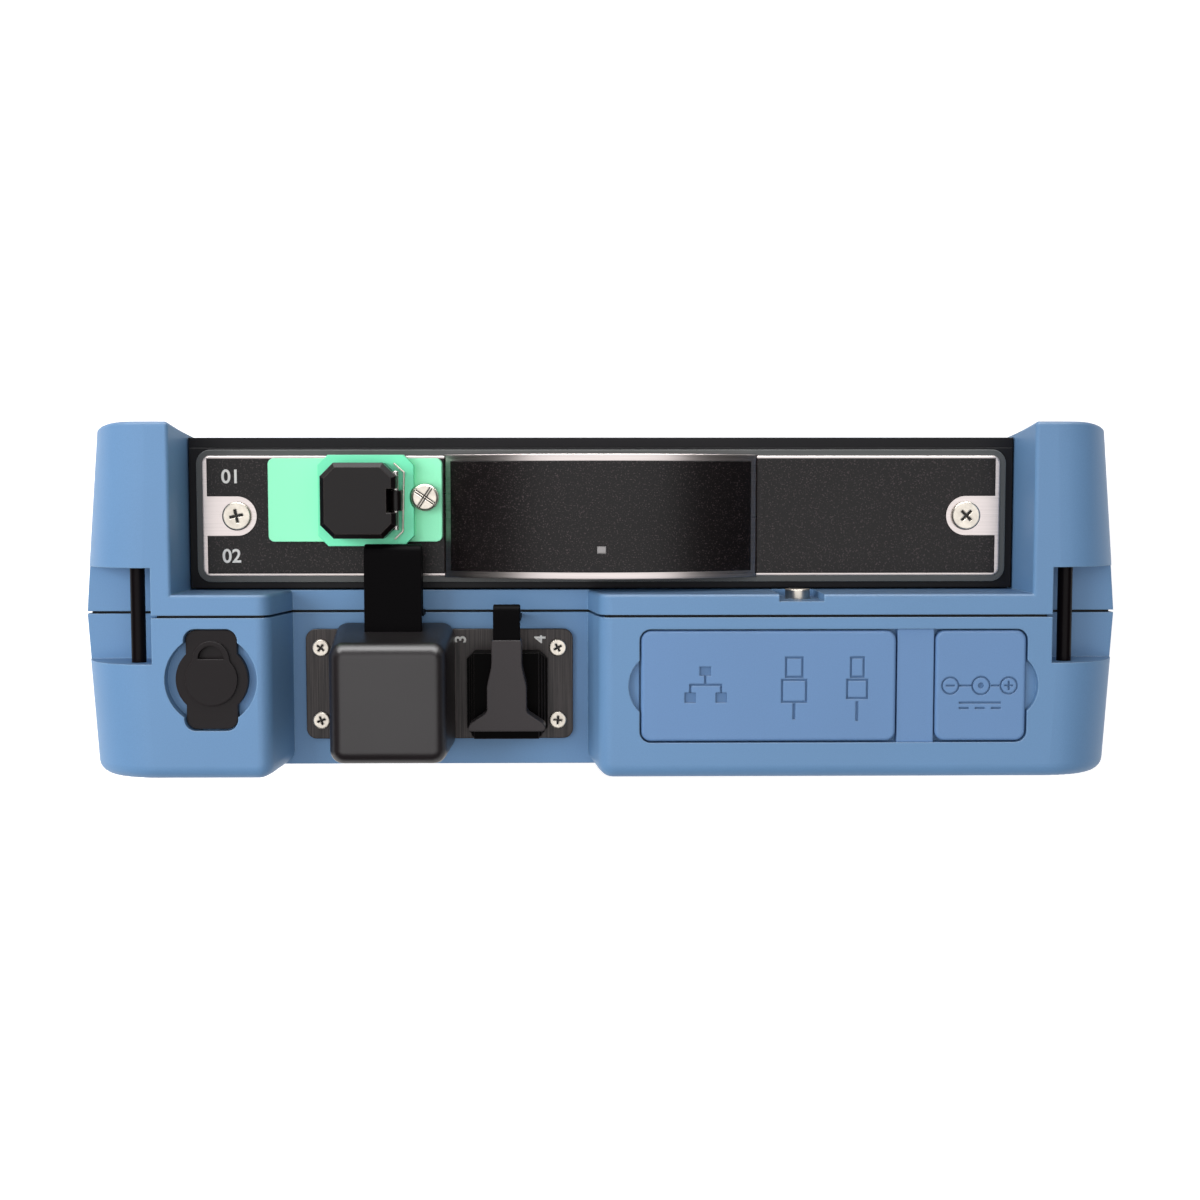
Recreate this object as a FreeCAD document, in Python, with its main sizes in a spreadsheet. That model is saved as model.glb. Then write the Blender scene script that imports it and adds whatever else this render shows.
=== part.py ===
import FreeCAD, Part
import Sketcher
import math
import os

# Handheld optical time domain reflectometer, millimetres.
# +X is to the right along the connector edge, +Y is the unit's back, +Z is up:
# the unit stands on its bottom edge, with the connectors along its top edge.
# The origin is the middle of the bottom edge.

V = FreeCAD.Vector
doc = FreeCAD.newDocument("reflectometer")

# ---------------------------------------------------------------- sizes

SIZES = [
    # housing
    ("width", 203.4), ("height", 166.0), ("front_reach", 34.15), ("back_reach", 34.15),
    ("pad_rise", 2.6), ("pad_length", 30.0), ("pad_flat", 19.0), ("lip_rise", 1.1),
    ("lip_length", 20.0), ("lip_flat", 5.0), ("parting", -2.85), ("seal_gap", 0.5),
    ("front_taper", 2.0), ("back_taper", 1.3), ("corner_radius", 14.0), ("front_round", 2.6),
    ("edge_round", 0.8), ("wall", 3.0), ("front_wall", 3.2), ("back_wall", 6.5),
    ("seal_inset", 0.9), ("seal_width", 1.5),
    # strap bars in the open corners
    ("strap_side", 15.7), ("strap_front", -11.95), ("strap_back", 6.45), ("strap_depth", 11.5),
    ("bar_side", 12.0), ("bar_drop", 4.8), ("bar_radius", 1.4), ("bar_seat", 2.0),
    ("bar_play", 0.05),
    # bay of the module, and the module's case
    ("bay_side", 19.5), ("bay_floor", 1.35), ("bay_bottom", 60.0), ("bay_depth", 15.0),
    ("bay_edge", 0.7),
    ("module_play", 0.3), ("module_wall", 1.6), ("cover_thick", 2.0), ("face_thick", 2.4),
    # faceplate, its gasket, overlays and screws
    ("gasket_side", 1.9), ("gasket_front", 1.6), ("gasket_back", 2.4), ("gasket_width", 1.25),
    ("gasket_thick", 0.8), ("gasket_radius", 2.8), ("plate_thick", 1.1), ("overlay_inset", 0.9),
    ("overlay_thick", 0.25), ("ear_in", 8.0), ("ear_radius", 3.9), ("screw_head", 2.85),
    ("screw_rise", 0.9), ("screw_shank", 1.25), ("screw_length", 6.0), ("screw_slot", 0.28),
    # raised middle panel
    ("hump_in", 49.0), ("hump_long", 62.0), ("hump_margin", 1.0), ("hump_rise", 9.0),
    ("hump_rim", 1.3), ("hump_skin_low", 0.7), ("hump_wall", 1.2),
    ("light_width", 1.8), ("light_height", 1.4), ("light_in", 5.7),
    # green connector block
    ("base_in", 14.6), ("base_gap", 0.3), ("base_front", 5.0), ("base_back", 1.7),
    ("base_thick", 2.0), ("base_round", 1.2), ("adapter_in", 33.5), ("adapter_up", 3.1),
    ("boss_out_left", 8.8), ("boss_out_right", 9.9), ("boss_half", 8.9), ("boss_rise", 2.2),
    ("boss_chamfer", 2.0),
    # hinged cap
    ("cap_out_left", 7.6), ("cap_out_right", 7.0), ("cap_half", 7.3), ("cap_thick", 5.6),
    ("cap_chamfer", 2.6), ("cap_gap", 0.4), ("cap_bevel", 0.9), ("cap_well", 5.5),
    ("cap_well_depth", 2.4), ("hinge_in", 0.4), ("hinge_radius", 0.6), ("hinge_rise", 1.6),
    ("hinge_play", 0.05), ("bracket_half", 2.3), ("knuckle_radius", 1.1), ("bracket_play", 0.3),
    ("pin_half", 5.7),
    # fibre adapter and thumbscrew
    ("adapter_radius", 4.6), ("adapter_bore", 2.6), ("adapter_sink", 8.0), ("adapter_proud", 1.6),
    ("hole_play", 0.1), ("thumb_out", 12.1), ("thumb_up", 0.6), ("thumb_radius", 2.7),
    ("thumb_head", 2.6), ("thumb_shank", 1.25), ("thumb_length", 7.0), ("thumb_slot", 0.8),
    # screw that holds the module
    ("hold_side", 63.6), ("hold_drop", 8.0), ("hold_head", 2.4), ("hold_head_thick", 1.9),
    ("hold_shank", 1.25), ("hold_length", 2.4), ("notch_left", 4.5), ("notch_right", 4.1),
    ("notch_sink", 1.4),
    # recess of the testers, and their plate
    ("recess_side", 37.8), ("recess_long", 63.3), ("recess_slant", 2.3), ("recess_depth", 14.0),
    ("recess_round", 2.8), ("tester_side", 5.0), ("tester_long", 53.0), ("tester_front", 4.8),
    ("tester_deep", 21.9), ("tester_thick", 1.2), ("tester_radius", 2.0),
    ("tester_screw_x", 3.0), ("tester_screw_y", 3.7), ("tester_screw_head", 1.7),
    ("tester_head_rise", 0.7), ("tester_slot", 0.2), ("tester_slot_reach", 0.95),
    # power meter port and its rubber cover
    ("meter_in", 18.7), ("meter_up", 9.9), ("meter_flange", 8.2), ("meter_flange_thick", 2.0),
    ("meter_nose", 6.2), ("meter_length", 13.0), ("meter_bore", 2.6),
    ("cover_left", 11.4), ("cover_right", 10.5), ("cover_front", 12.1), ("cover_rear", 10.6),
    ("cover_rise", 6.0), ("cover_round", 2.6), ("cover_draft", 2.7), ("cover_edge", 1.3),
    ("cover_bevel", 2.2), ("cover_gap", 0.3),
    ("strap_out_left", 6.0), ("strap_out_right", 5.1), ("strap_thick", 1.2), ("strap_under", 4.1),
    ("strap_fold_in", 10.0), ("strap_loop", 4.9), ("strap_drop_in", 4.8), ("strap_grip", 1.5),
    # fault locator port and its cover
    ("vfl_in", 40.0), ("vfl_front", 0.8), ("vfl_deep", 16.9), ("vfl_half", 8.0),
    ("vfl_rise", 6.0), ("vfl_chamfer", 1.6), ("vfl_neck", 2.2), ("vfl_length", 9.6),
    ("vfl_bore", 1.3), ("vfl_rib", 0.55), ("tongue_half", 3.8), ("tongue_flare", 7.4),
    ("tongue_front", 2.3), ("tongue_under", 1.4), ("tongue_thick", 1.2), ("tongue_waist", 2.9),
    ("tongue_waist_in", 14.9), ("tongue_over", 3.0), ("tongue_belly_low", 5.9),
    ("tongue_belly_high", 10.9), ("tongue_aside", 0.3),
    ("tongue_strap_half", 2.5), ("tongue_fold_in", 1.5), ("tongue_loop", 4.4),
    ("tongue_drop_in", 3.8),
    # flaps over the sockets
    ("flap_front", 6.1), ("flap_deep", 21.3), ("flap_thick", 2.0), ("flap_play", 0.3),
    ("flap_radius", 1.9), ("flap_edge", 0.6), ("ports_flap_long", 48.9), ("dc_side", 20.6),
    ("dc_flap_long", 17.4), ("scoop_radius", 6.8), ("scoop_reach", 2.4), ("scoop_depth", 1.5),
    ("anchor_long", 7.6), ("anchor_sink", 0.5), ("anchor_play", 0.3),
    # sockets
    ("lan_in", 11.8), ("usb_in", 28.9), ("micro_in", 41.0), ("dc_in", 8.4), ("socket_roof", 2.6),
    ("lan_width", 16.0), ("lan_deep", 13.6), ("lan_open_width", 11.8), ("lan_open_deep", 8.4),
    ("usb_width", 7.0), ("usb_deep", 14.4), ("usb_open_width", 5.2), ("usb_open_deep", 12.6),
    ("micro_width", 5.0), ("micro_deep", 10.0), ("micro_open_width", 3.0), ("micro_open_deep", 8.0),
    ("dc_radius", 4.6), ("dc_bore", 3.1), ("dc_pin", 1.0), ("socket_length", 15.0),
    ("socket_play", 0.2), ("socket_back", 2.0), ("lan_contacts", 1.6), ("usb_tongue", 1.8),
    ("micro_tongue", 1.0),
    # probe socket and its plug
    ("probe_side", 26.8), ("probe_front", 18.1), ("probe_half", 4.85), ("probe_wide", 6.9),
    ("probe_long", 9.5), ("probe_scoop", 8.8), ("probe_scoop_depth", 2.6), ("probe_cap", 1.6),
    ("probe_tab", 5.0), ("probe_tab_rise", 0.7), ("probe_lobe", 2.0), ("probe_arch", 3.5),
    ("probe_arch_up", 3.9), ("probe_eye", 2.5), ("probe_eye_up", 4.0), ("probe_eye_floor", 0.8),
    ("probe_stem", 8.0), ("probe_jack_wall", 1.2), ("probe_end", 2.0), ("probe_well", 2.0),
    ("probe_corner", 1.7),
    # display side
    ("bezel_side", 9.7), ("bezel_low", 24.0), ("bezel_drop", 26.0), ("bezel_thick", 1.8),
    ("bezel_radius", 6.0), ("bezel_bond", 0.1), ("glass_in", 3.8), ("glass_keys", 6.3),
    ("glass_margin", 9.4), ("glass_thick", 1.1), ("glass_radius", 1.7), ("screen_margin", 3.0),
    ("panel_thick", 4.2), ("panel_margin", 3.6), ("key_in", 10.5), ("key_step", 14.0),
    ("key_half_x", 5.0), ("key_half_z", 7.0), ("key_play", 0.35), ("key_ledge", 1.0),
    ("key_travel", 0.6), ("key_board_thick", 1.2), ("key_cap", 1.2), ("key_edge", 0.5),
    ("key_stem_reach", 1.0), ("dome_radius", 1.8), ("dome_height", 0.8), ("dome_gap", 0.1),
    ("key_post", 2.0), ("key_post_step", 12.0),
    # boards and battery
    ("board_side", 6.2), ("board_low", 62.0), ("board_drop", 20.0), ("board_thick", 1.6),
    ("board_ports_drop", 8.0), ("board_ports_in", 5.6), ("board_right_side", 21.7),
    ("post_radius", 3.0), ("post_side", 12.2), ("post_inset", 6.0), ("board_screw", 1.2),
    ("board_head", 2.2), ("board_head_thick", 1.4), ("board_thread", 5.0), ("board_stand", 6.2),
    ("laser_long", 26.0), ("laser_wide", 15.0), ("laser_high", 9.0),
    ("door_half", 52.0), ("door_low", 14.5), ("door_high", 51.0), ("door_thick", 2.2),
    ("door_round", 2.6), ("battery_margin", 3.0), ("battery_inset", 2.0), ("battery_deep", 22.0),
    # tilt stand
    ("stand_in", 57.0), ("stand_out", 63.0), ("stand_low", 4.6), ("stand_bar", 6.4),
    ("stand_thick", 3.2), ("stand_play", 0.4), ("stand_pivot", 54.0), ("stand_pin", 0.9),
    ("stand_seat", 2.0),
    # screws of the housing
    ("screw_inset", 26.0), ("screw_out", 7.5), ("thread_depth", 10.0), ("shell_screw", 2.6),
    ("shell_screw_sink", 1.6), ("shell_screw_head", 1.3), ("shell_shank", 1.3), ("shell_boss", 3.4),
]

sheet = doc.addObject("Spreadsheet::Sheet", "Size")


class Dimension:
    """A length as a number and as the expression that FreeCAD binds to."""

    def __init__(self, value, text=None):
        self.value = float(value)
        self.text = text if text else "%.6f" % value

    def __add__(self, other):
        other = dimension(other)
        return Dimension(self.value + other.value, "(%s + %s)" % (self.text, other.text))

    def __sub__(self, other):
        other = dimension(other)
        return Dimension(self.value - other.value, "(%s - %s)" % (self.text, other.text))

    def __mul__(self, other):
        other = dimension(other)
        return Dimension(self.value * other.value, "(%s * %s)" % (self.text, other.text))

    def __truediv__(self, other):
        other = dimension(other)
        return Dimension(self.value / other.value, "(%s / %s)" % (self.text, other.text))

    def __neg__(self):
        return Dimension(-self.value, "(0 - %s)" % self.text)

    def __radd__(self, other):
        return dimension(other) + self

    def __rsub__(self, other):
        return dimension(other) - self

    def __rmul__(self, other):
        return dimension(other) * self


def dimension(number):
    return number if isinstance(number, Dimension) else Dimension(number)


class Sizes:
    """The sheet's cells by name."""


s = Sizes()
for row, (alias, value) in enumerate(SIZES, start=1):
    sheet.set("A%d" % row, alias.replace("_", " "))
    sheet.set("B%d" % row, str(value))
    sheet.setAlias("B%d" % row, alias)
    setattr(s, alias, Dimension(value, "Size." + alias))
doc.recompute()

# ---------------------------------------------------------------- helpers


def bind(obj, **properties):
    """Bind properties to expressions. Two underscores stand for a dot."""
    for name, size in properties.items():
        obj.setExpression(name.replace("__", "."), dimension(size).text)


def place(obj, x=0, y=0, z=0):
    bind(obj, Placement__Base__x=x, Placement__Base__y=y, Placement__Base__z=z)


def new_body(label):
    made = doc.addObject("PartDesign::Body", label)
    made.Label = label
    return made


def new_sketch(body, plane, offset=0):
    """Sketch on an origin plane: "XY" at a height Z, "XZ" at a depth Y or "YZ" at a place X."""
    made = body.newObject("Sketcher::SketchObject", body.Label + "_sketch")
    origin = [f for f in body.Origin.OriginFeatures if f.Role == plane + "_Plane"][0]
    made.AttachmentSupport = [(origin, "")]
    made.MapMode = "FlatFace"
    offset = dimension(offset)
    bind(made, AttachmentOffset__Base__z=-offset if plane == "XZ" else offset)
    return made


def fix(sketch, kind, geometry, point, size):
    """Hold a point's distance from the sketch's origin."""
    index = sketch.addConstraint(Sketcher.Constraint(kind, -1, 1, geometry, point, size.value))
    sketch.setExpression("Constraints[%d]" % index, size.text)


def polygon(sketch, points):
    """Closed outline of straight sides through points that are each bound to sizes."""
    points = [(dimension(a), dimension(b)) for a, b in points]
    first = sketch.GeometryCount
    count = len(points)
    for i in range(count):
        a, b = points[i], points[(i + 1) % count]
        sketch.addGeometry(Part.LineSegment(V(a[0].value, a[1].value, 0), V(b[0].value, b[1].value, 0)))
    for i in range(count):
        joined = Sketcher.Constraint("Coincident", first + i, 2, first + (i + 1) % count, 1)
        sketch.addConstraint(joined)
        fix(sketch, "DistanceX", first + i, 1, points[i][0])
        fix(sketch, "DistanceY", first + i, 1, points[i][1])


def rectangle(sketch, left, low, right, high):
    polygon(sketch, [(left, low), (right, low), (right, high), (left, high)])


def circle(sketch, x, y, radius):
    x, y, radius = dimension(x), dimension(y), dimension(radius)
    index = sketch.addGeometry(Part.Circle(V(x.value, y.value, 0), V(0, 0, 1), radius.value))
    fix(sketch, "DistanceX", index, 3, x)
    fix(sketch, "DistanceY", index, 3, y)
    held = sketch.addConstraint(Sketcher.Constraint("Radius", index, radius.value))
    sketch.setExpression("Constraints[%d]" % held, radius.text)


def rounded(sketch, left, low, right, high, radius):
    """Rectangle with round corners."""
    left, low, right, high, radius = map(dimension, (left, low, right, high, radius))
    x0, y0, x1, y1, r = left.value, low.value, right.value, high.value, radius.value
    first = sketch.GeometryCount
    sides = [((x0 + r, y0), (x1 - r, y0)), ((x1, y0 + r), (x1, y1 - r)),
             ((x1 - r, y1), (x0 + r, y1)), ((x0, y1 - r), (x0, y0 + r))]
    for a, b in sides:
        sketch.addGeometry(Part.LineSegment(V(a[0], a[1], 0), V(b[0], b[1], 0)))
    centres = [(x1 - r, y0 + r, 270), (x1 - r, y1 - r, 0), (x0 + r, y1 - r, 90), (x0 + r, y0 + r, 180)]
    for x, y, start in centres:
        ring = Part.Circle(V(x, y, 0), V(0, 0, 1), r)
        sketch.addGeometry(Part.ArcOfCircle(ring, math.radians(start), math.radians(start + 90)))
    for i in range(4):
        sketch.addConstraint(Sketcher.Constraint("Tangent", first + i, 2, first + 4 + i, 1))
        sketch.addConstraint(Sketcher.Constraint("Tangent", first + 4 + i, 2, first + (i + 1) % 4, 1))
    for i in range(4):
        kind = "Vertical" if i % 2 else "Horizontal"
        sketch.addConstraint(Sketcher.Constraint(kind, first + i))
    for i in range(1, 4):
        sketch.addConstraint(Sketcher.Constraint("Equal", first + 4, first + 4 + i))
    held = sketch.addConstraint(Sketcher.Constraint("Radius", first + 4, r))
    sketch.setExpression("Constraints[%d]" % held, radius.text)
    fix(sketch, "DistanceY", first, 1, low)
    fix(sketch, "DistanceX", first + 1, 1, right)
    fix(sketch, "DistanceY", first + 2, 1, high)
    fix(sketch, "DistanceX", first + 3, 1, left)


def half_moon(sketch, x, y, radius):
    """Half circle that stands on its straight side."""
    x, y, radius = dimension(x), dimension(y), dimension(radius)
    first = sketch.GeometryCount
    ring = Part.Circle(V(x.value, y.value, 0), V(0, 0, 1), radius.value)
    sketch.addGeometry(Part.ArcOfCircle(ring, 0, math.pi))
    sketch.addGeometry(Part.LineSegment(V(x.value - radius.value, y.value, 0),
                                        V(x.value + radius.value, y.value, 0)))
    sketch.addConstraint(Sketcher.Constraint("Coincident", first, 2, first + 1, 1))
    sketch.addConstraint(Sketcher.Constraint("Coincident", first + 1, 2, first, 1))
    sketch.addConstraint(Sketcher.Constraint("PointOnObject", first, 3, first + 1))
    sketch.addConstraint(Sketcher.Constraint("Horizontal", first + 1))
    held = sketch.addConstraint(Sketcher.Constraint("Radius", first, radius.value))
    sketch.setExpression("Constraints[%d]" % held, radius.text)
    fix(sketch, "DistanceX", first, 3, x)
    fix(sketch, "DistanceY", first, 3, y)


def pad(body, sketch, length, towards=1):
    """Add material along +X, +Y or +Z of the sketch's plane, or the other way with -1."""
    made = body.newObject("PartDesign::Pad", body.Label + "_pad")
    made.Profile = sketch
    bind(made, Length=length)
    made.Reversed = (towards < 0) != (plane_role(sketch) == "XZ_Plane")
    return made


def pocket(body, sketch, length, towards=-1):
    """Remove material along the plane's axis, by default towards its low side."""
    made = body.newObject("PartDesign::Pocket", body.Label + "_pocket")
    made.Profile = sketch
    bind(made, Length=length)
    made.Reversed = (towards > 0) != (plane_role(sketch) == "XZ_Plane")
    return made


def plane_role(sketch):
    return sketch.AttachmentSupport[0][0].Role


def dress(body, kind, size, wanted):
    """Fillet or Chamfer on the body's edges that the test picks."""
    doc.recompute()
    base = body.Tip
    names = ["Edge%d" % i for i, edge in enumerate(base.Shape.Edges, start=1) if wanted(edge)]
    made = body.newObject("PartDesign::" + kind, body.Label + "_" + kind.lower())
    made.Base = (base, names)
    bind(made, **{"Radius" if kind == "Fillet" else "Size": size})
    return made


def runs_along(edge, axis, slack=0.12):
    """True for a straight edge whose direction is within about 7 degrees of an axis."""
    if len(edge.Vertexes) != 2 or edge.Curve.TypeId != "Part::GeomLine":
        return False
    a, b = edge.Vertexes[0].Point, edge.Vertexes[1].Point
    way = (b - a).normalize()
    return abs(abs(getattr(way, axis)) - 1) < slack * slack


def middle(edge):
    return edge.BoundBox.Center


def near(a, b, slack=0.05):
    b = dimension(b).value
    return abs(a - b) < slack


def block(label, left, low, bottom, right, high, top):
    """Box between two corners."""
    made = doc.addObject("Part::Box", label)
    left, low, bottom = map(dimension, (left, low, bottom))
    bind(made, Length=right - left, Width=high - low, Height=top - bottom)
    place(made, left, low, bottom)
    return made


def rod(label, radius, length, x, y, z, axis="z"):
    """Cylinder from a point along +X, +Y or +Z."""
    made = doc.addObject("Part::Cylinder", label)
    bind(made, Radius=radius, Height=length)
    made.Placement.Rotation = {"z": FreeCAD.Rotation(), "x": FreeCAD.Rotation(V(0, 1, 0), 90),
                               "y": FreeCAD.Rotation(V(1, 0, 0), -90)}[axis]
    place(made, x, y, z)
    return made


def fuse(label, *shapes):
    made = doc.addObject("Part::MultiFuse", label)
    made.Shapes = list(shapes)
    return made


def cut(label, base, *tools):
    made = doc.addObject("Part::Cut", label)
    made.Base = base
    made.Tool = tools[0] if len(tools) == 1 else fuse(label + "_tools", *tools)
    return made


def group(label, *shapes):
    made = doc.addObject("Part::Compound", label)
    made.Links = list(shapes)
    return made


NODES = []


def node(made, label):
    """Name a finished sub-part: its file takes this label."""
    made.Label = label
    NODES.append(made)
    return made


# ---------------------------------------------------------------- derived places

half = s.width / 2
top = s.height
beyond = s.wall
play = s.flap_play
front_half = half - s.front_taper
back_half = half - s.back_taper
front_face = -s.front_reach
front_level = front_face + s.lip_rise
front_inside = front_level + s.front_wall
back_level = s.back_reach - s.pad_rise
seal_low = s.parting - s.seal_gap / 2
seal_high = s.parting + s.seal_gap / 2
# open corners and the bars across them
corner_x = half - s.strap_side
bar_x = half - s.bar_side
bar_z_high = top - s.bar_drop
bar_z_low = s.bar_drop
# bay and faceplate
bay_half = half - s.bay_side
bay_face = top - s.bay_depth
gasket_x = bay_half - s.gasket_side
gasket_low = s.bay_floor + s.gasket_front
gasket_high = back_level - s.gasket_back
face_middle = (gasket_low + gasket_high) / 2
ear_x = gasket_x - s.ear_in
hump_left = s.hump_in - gasket_x
hump_right = hump_left + s.hump_long
hump_low = gasket_low + s.hump_margin
hump_high = gasket_high - s.hump_margin
light_y = hump_low + s.light_in
# connector block
base_left = s.base_in - gasket_x
base_right = hump_left - s.base_gap
base_low = face_middle - s.base_front
base_high = gasket_high - s.base_back
adapter_x = s.adapter_in - gasket_x
adapter_y = face_middle + s.adapter_up
boss_left = adapter_x - s.boss_out_left
boss_right = adapter_x + s.boss_out_right
cap_left = adapter_x - s.cap_out_left
cap_right = adapter_x + s.cap_out_right
thumb_x = adapter_x + s.thumb_out
thumb_y = adapter_y + s.thumb_up
hold_x = half - s.hold_side
# recess of the testers
recess_floor = top - s.recess_depth
recess_left = s.recess_side - half
recess_right = recess_left + s.recess_long
recess_low_left = recess_left + s.recess_slant
recess_low_right = recess_right - s.recess_slant
room_top = recess_floor - s.wall
tester_left = recess_left + s.tester_side
tester_right = tester_left + s.tester_long
tester_low = front_level + s.tester_front
tester_high = tester_low + s.tester_deep
tester_top = recess_floor + s.tester_thick
meter_x = tester_left + s.meter_in
meter_y = tester_low + s.meter_up
vfl_x = tester_left + s.vfl_in
vfl_low = tester_low + s.vfl_front
vfl_high = vfl_low + s.vfl_deep
# flaps and sockets
flap_bottom = top - s.flap_thick
flap_seat = flap_bottom - s.flap_play
flap_low = front_level + s.flap_front
flap_high = flap_low + s.flap_deep
flap_middle = (flap_low + flap_high) / 2
socket_face = flap_seat - s.socket_roof
dc_right = half - s.dc_side
dc_left = dc_right - s.dc_flap_long
ports_right = dc_left - s.anchor_long
ports_left = ports_right - s.ports_flap_long
lan_x = ports_left + s.lan_in
usb_x = ports_left + s.usb_in
micro_x = ports_left + s.micro_in
dc_x = dc_left + s.dc_in
probe_x = s.probe_side - half
probe_y = front_level + s.probe_front
probe_seat = top - s.probe_scoop_depth
# display side
bezel_half = half - s.bezel_side
bezel_high = top - s.bezel_drop
bezel_seat = front_level + s.bezel_thick + s.bezel_bond
key_x = bezel_half - s.key_in
glass_left = s.glass_in - bezel_half
glass_right = key_x - s.key_half_x - s.glass_keys
glass_x = (glass_left + glass_right) / 2
glass_half_x = (glass_right - glass_left) / 2
glass_z = (s.bezel_low + bezel_high) / 2
glass_half_z = (bezel_high - s.bezel_low) / 2 - s.glass_margin
screen_half_x = glass_half_x - s.screen_margin
screen_half_z = glass_half_z - s.screen_margin
home_z = glass_z + s.key_step
power_z = glass_z - s.key_step
# main board and its posts
board_half = bay_half - s.board_side
board_right = half - s.board_right_side
board_high = top - s.board_drop
board_ports = top - s.board_ports_drop
board_ports_left = recess_right + s.board_ports_in
board_front = flap_middle + s.usb_deep / 2
board_back = board_front + s.board_thick
post_x = bay_half - s.post_side
POST_PLACES = [(x, z) for x in (-post_x, post_x)
               for z in (s.board_low + s.post_inset, board_high - s.post_inset)]
# housing screws
screw_x = bay_half + s.screw_out
SCREW_PLACES = [(x, z) for x in (-screw_x, screw_x) for z in (s.screw_inset, top - s.screw_inset)]


def cavity_outline(inset, high_top, side):
    """Points of the housing's section in X and Z, moved in from its outside by an inset."""
    strap_x = corner_x - inset
    strap_z = s.strap_depth + inset
    left = recess_left - inset
    right = recess_right + inset
    floor = recess_floor - inset
    return [(-side, strap_z), (-strap_x, strap_z), (-strap_x, inset), (strap_x, inset),
            (strap_x, strap_z), (side, strap_z), (side, top - strap_z), (strap_x, top - strap_z),
            (strap_x, high_top), (right, high_top), (right, floor), (left, floor),
            (left, high_top), (-strap_x, high_top), (-strap_x, top - strap_z), (-side, top - strap_z)]


def strap_notches(body):
    """Open corners for a hand strap, and the seats of the bars across them."""
    for level, towards in ((top, -1), (0, 1)):
        corner = new_sketch(body, "XY", level)
        rectangle(corner, corner_x, s.strap_front, half + beyond, s.strap_back)
        rectangle(corner, -(half + beyond), s.strap_front, -corner_x, s.strap_back)
        pocket(body, corner, s.strap_depth, towards)


def bar_seats(body, start, length, towards):
    seats = new_sketch(body, "XZ", start)
    for x in (-bar_x, bar_x):
        for z in (bar_z_low, bar_z_high):
            circle(seats, x, z, s.bar_radius + s.bar_play)
    pocket(body, seats, length, towards)


def recess_cut(body, low, high):
    """The tester recess runs right through the front edge in Y."""
    slope = new_sketch(body, "XZ", high)
    over = s.recess_slant * (beyond / s.recess_depth)
    polygon(slope, [(recess_low_left, recess_floor), (recess_low_right, recess_floor),
                    (recess_right + over, top + beyond), (recess_left - over, top + beyond)])
    pocket(body, slope, high - low)


def ease_level(body, level, reach, length, flat, towards):
    """Lower a face from its reach to its level between the bumpers at both ends of the height."""
    out = reach + beyond * 2 * towards
    side = new_sketch(body, "YZ", -half - beyond)
    polygon(side, [(level, length), (level, top - length), (reach, top - flat), (out, top - flat),
                   (out, flat), (reach, flat)])
    pocket(body, side, s.width + beyond * 2, 1)


# ---------------------------------------------------------------- front shell

front = new_body("front_shell")
plan = new_sketch(front, "XY", 0)
polygon(plan, [(-half, seal_low), (-front_half, front_face), (front_half, front_face), (half, seal_low)])
pad(front, plan, top)
dress(front, "Fillet", s.corner_radius, lambda e: runs_along(e, "y"))
dress(front, "Fillet", s.front_round,
      lambda e: near(e.BoundBox.YMax, front_face, 0.01) and near(e.BoundBox.YMin, front_face, 0.01))
ease_level(front, front_level, front_face, s.lip_length, s.lip_flat, -1)
inside = new_sketch(front, "XZ", seal_low)
polygon(inside, cavity_outline(s.wall, socket_face, front_half - s.wall))
pocket(front, inside, seal_low - front_inside)
recess_cut(front, front_face - beyond, beyond)
dress(front, "Fillet", s.recess_round,
      lambda e: runs_along(e, "y") and near(middle(e).z, top, 0.01)
      and (near(middle(e).x, recess_left) or near(middle(e).x, recess_right)))
strap_notches(front)
bar_seats(front, seal_low, seal_low - s.strap_front + s.bar_seat, -1)

# seats of the flaps, with a finger scoop past the free end of each
seat = new_sketch(front, "XY", top)
rounded(seat, ports_left - play, flap_low - play, dc_right + play, flap_high + play,
        s.flap_radius + play)
pocket(front, seat, s.flap_thick + play)
scoops = new_sketch(front, "XY", top)
for centre in (ports_left + s.scoop_radius - s.scoop_reach, dc_right - s.scoop_radius + s.scoop_reach):
    circle(scoops, centre, flap_middle, s.scoop_radius)
pocket(front, scoops, s.scoop_depth)
fingers = new_sketch(front, "XY", top)
rectangle(fingers, lan_x - s.lan_width / 2, flap_middle - s.lan_deep / 2,
          lan_x + s.lan_width / 2, flap_middle + s.lan_deep / 2)
rectangle(fingers, usb_x - s.usb_width / 2, flap_middle - s.usb_deep / 2,
          usb_x + s.usb_width / 2, flap_middle + s.usb_deep / 2)
rectangle(fingers, micro_x - s.micro_width / 2, flap_middle - s.micro_deep / 2,
          micro_x + s.micro_width / 2, flap_middle + s.micro_deep / 2)
circle(fingers, dc_x, flap_middle, s.dc_radius)
pocket(front, fingers, top - socket_face + beyond)

# probe socket hole, with the round scoop that its plug sits in
scoop = new_sketch(front, "XY", top)
circle(scoop, probe_x, probe_y, s.probe_scoop)
pocket(front, scoop, s.probe_scoop_depth)
plug_seat = new_sketch(front, "XY", top)
rounded(plug_seat, probe_x - s.probe_half - play, probe_y - s.probe_long - play,
        probe_x + s.probe_half + play, probe_y + s.probe_long + play, s.probe_lobe + play)
pocket(front, plug_seat, s.probe_scoop_depth)
stem = new_sketch(front, "XY", top)
rounded(stem, probe_x - s.probe_half, probe_y - s.probe_long + s.probe_end, probe_x + s.probe_half,
        probe_y + s.probe_long - s.probe_end, s.probe_end)
pocket(front, stem, top - socket_face + beyond)

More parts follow.
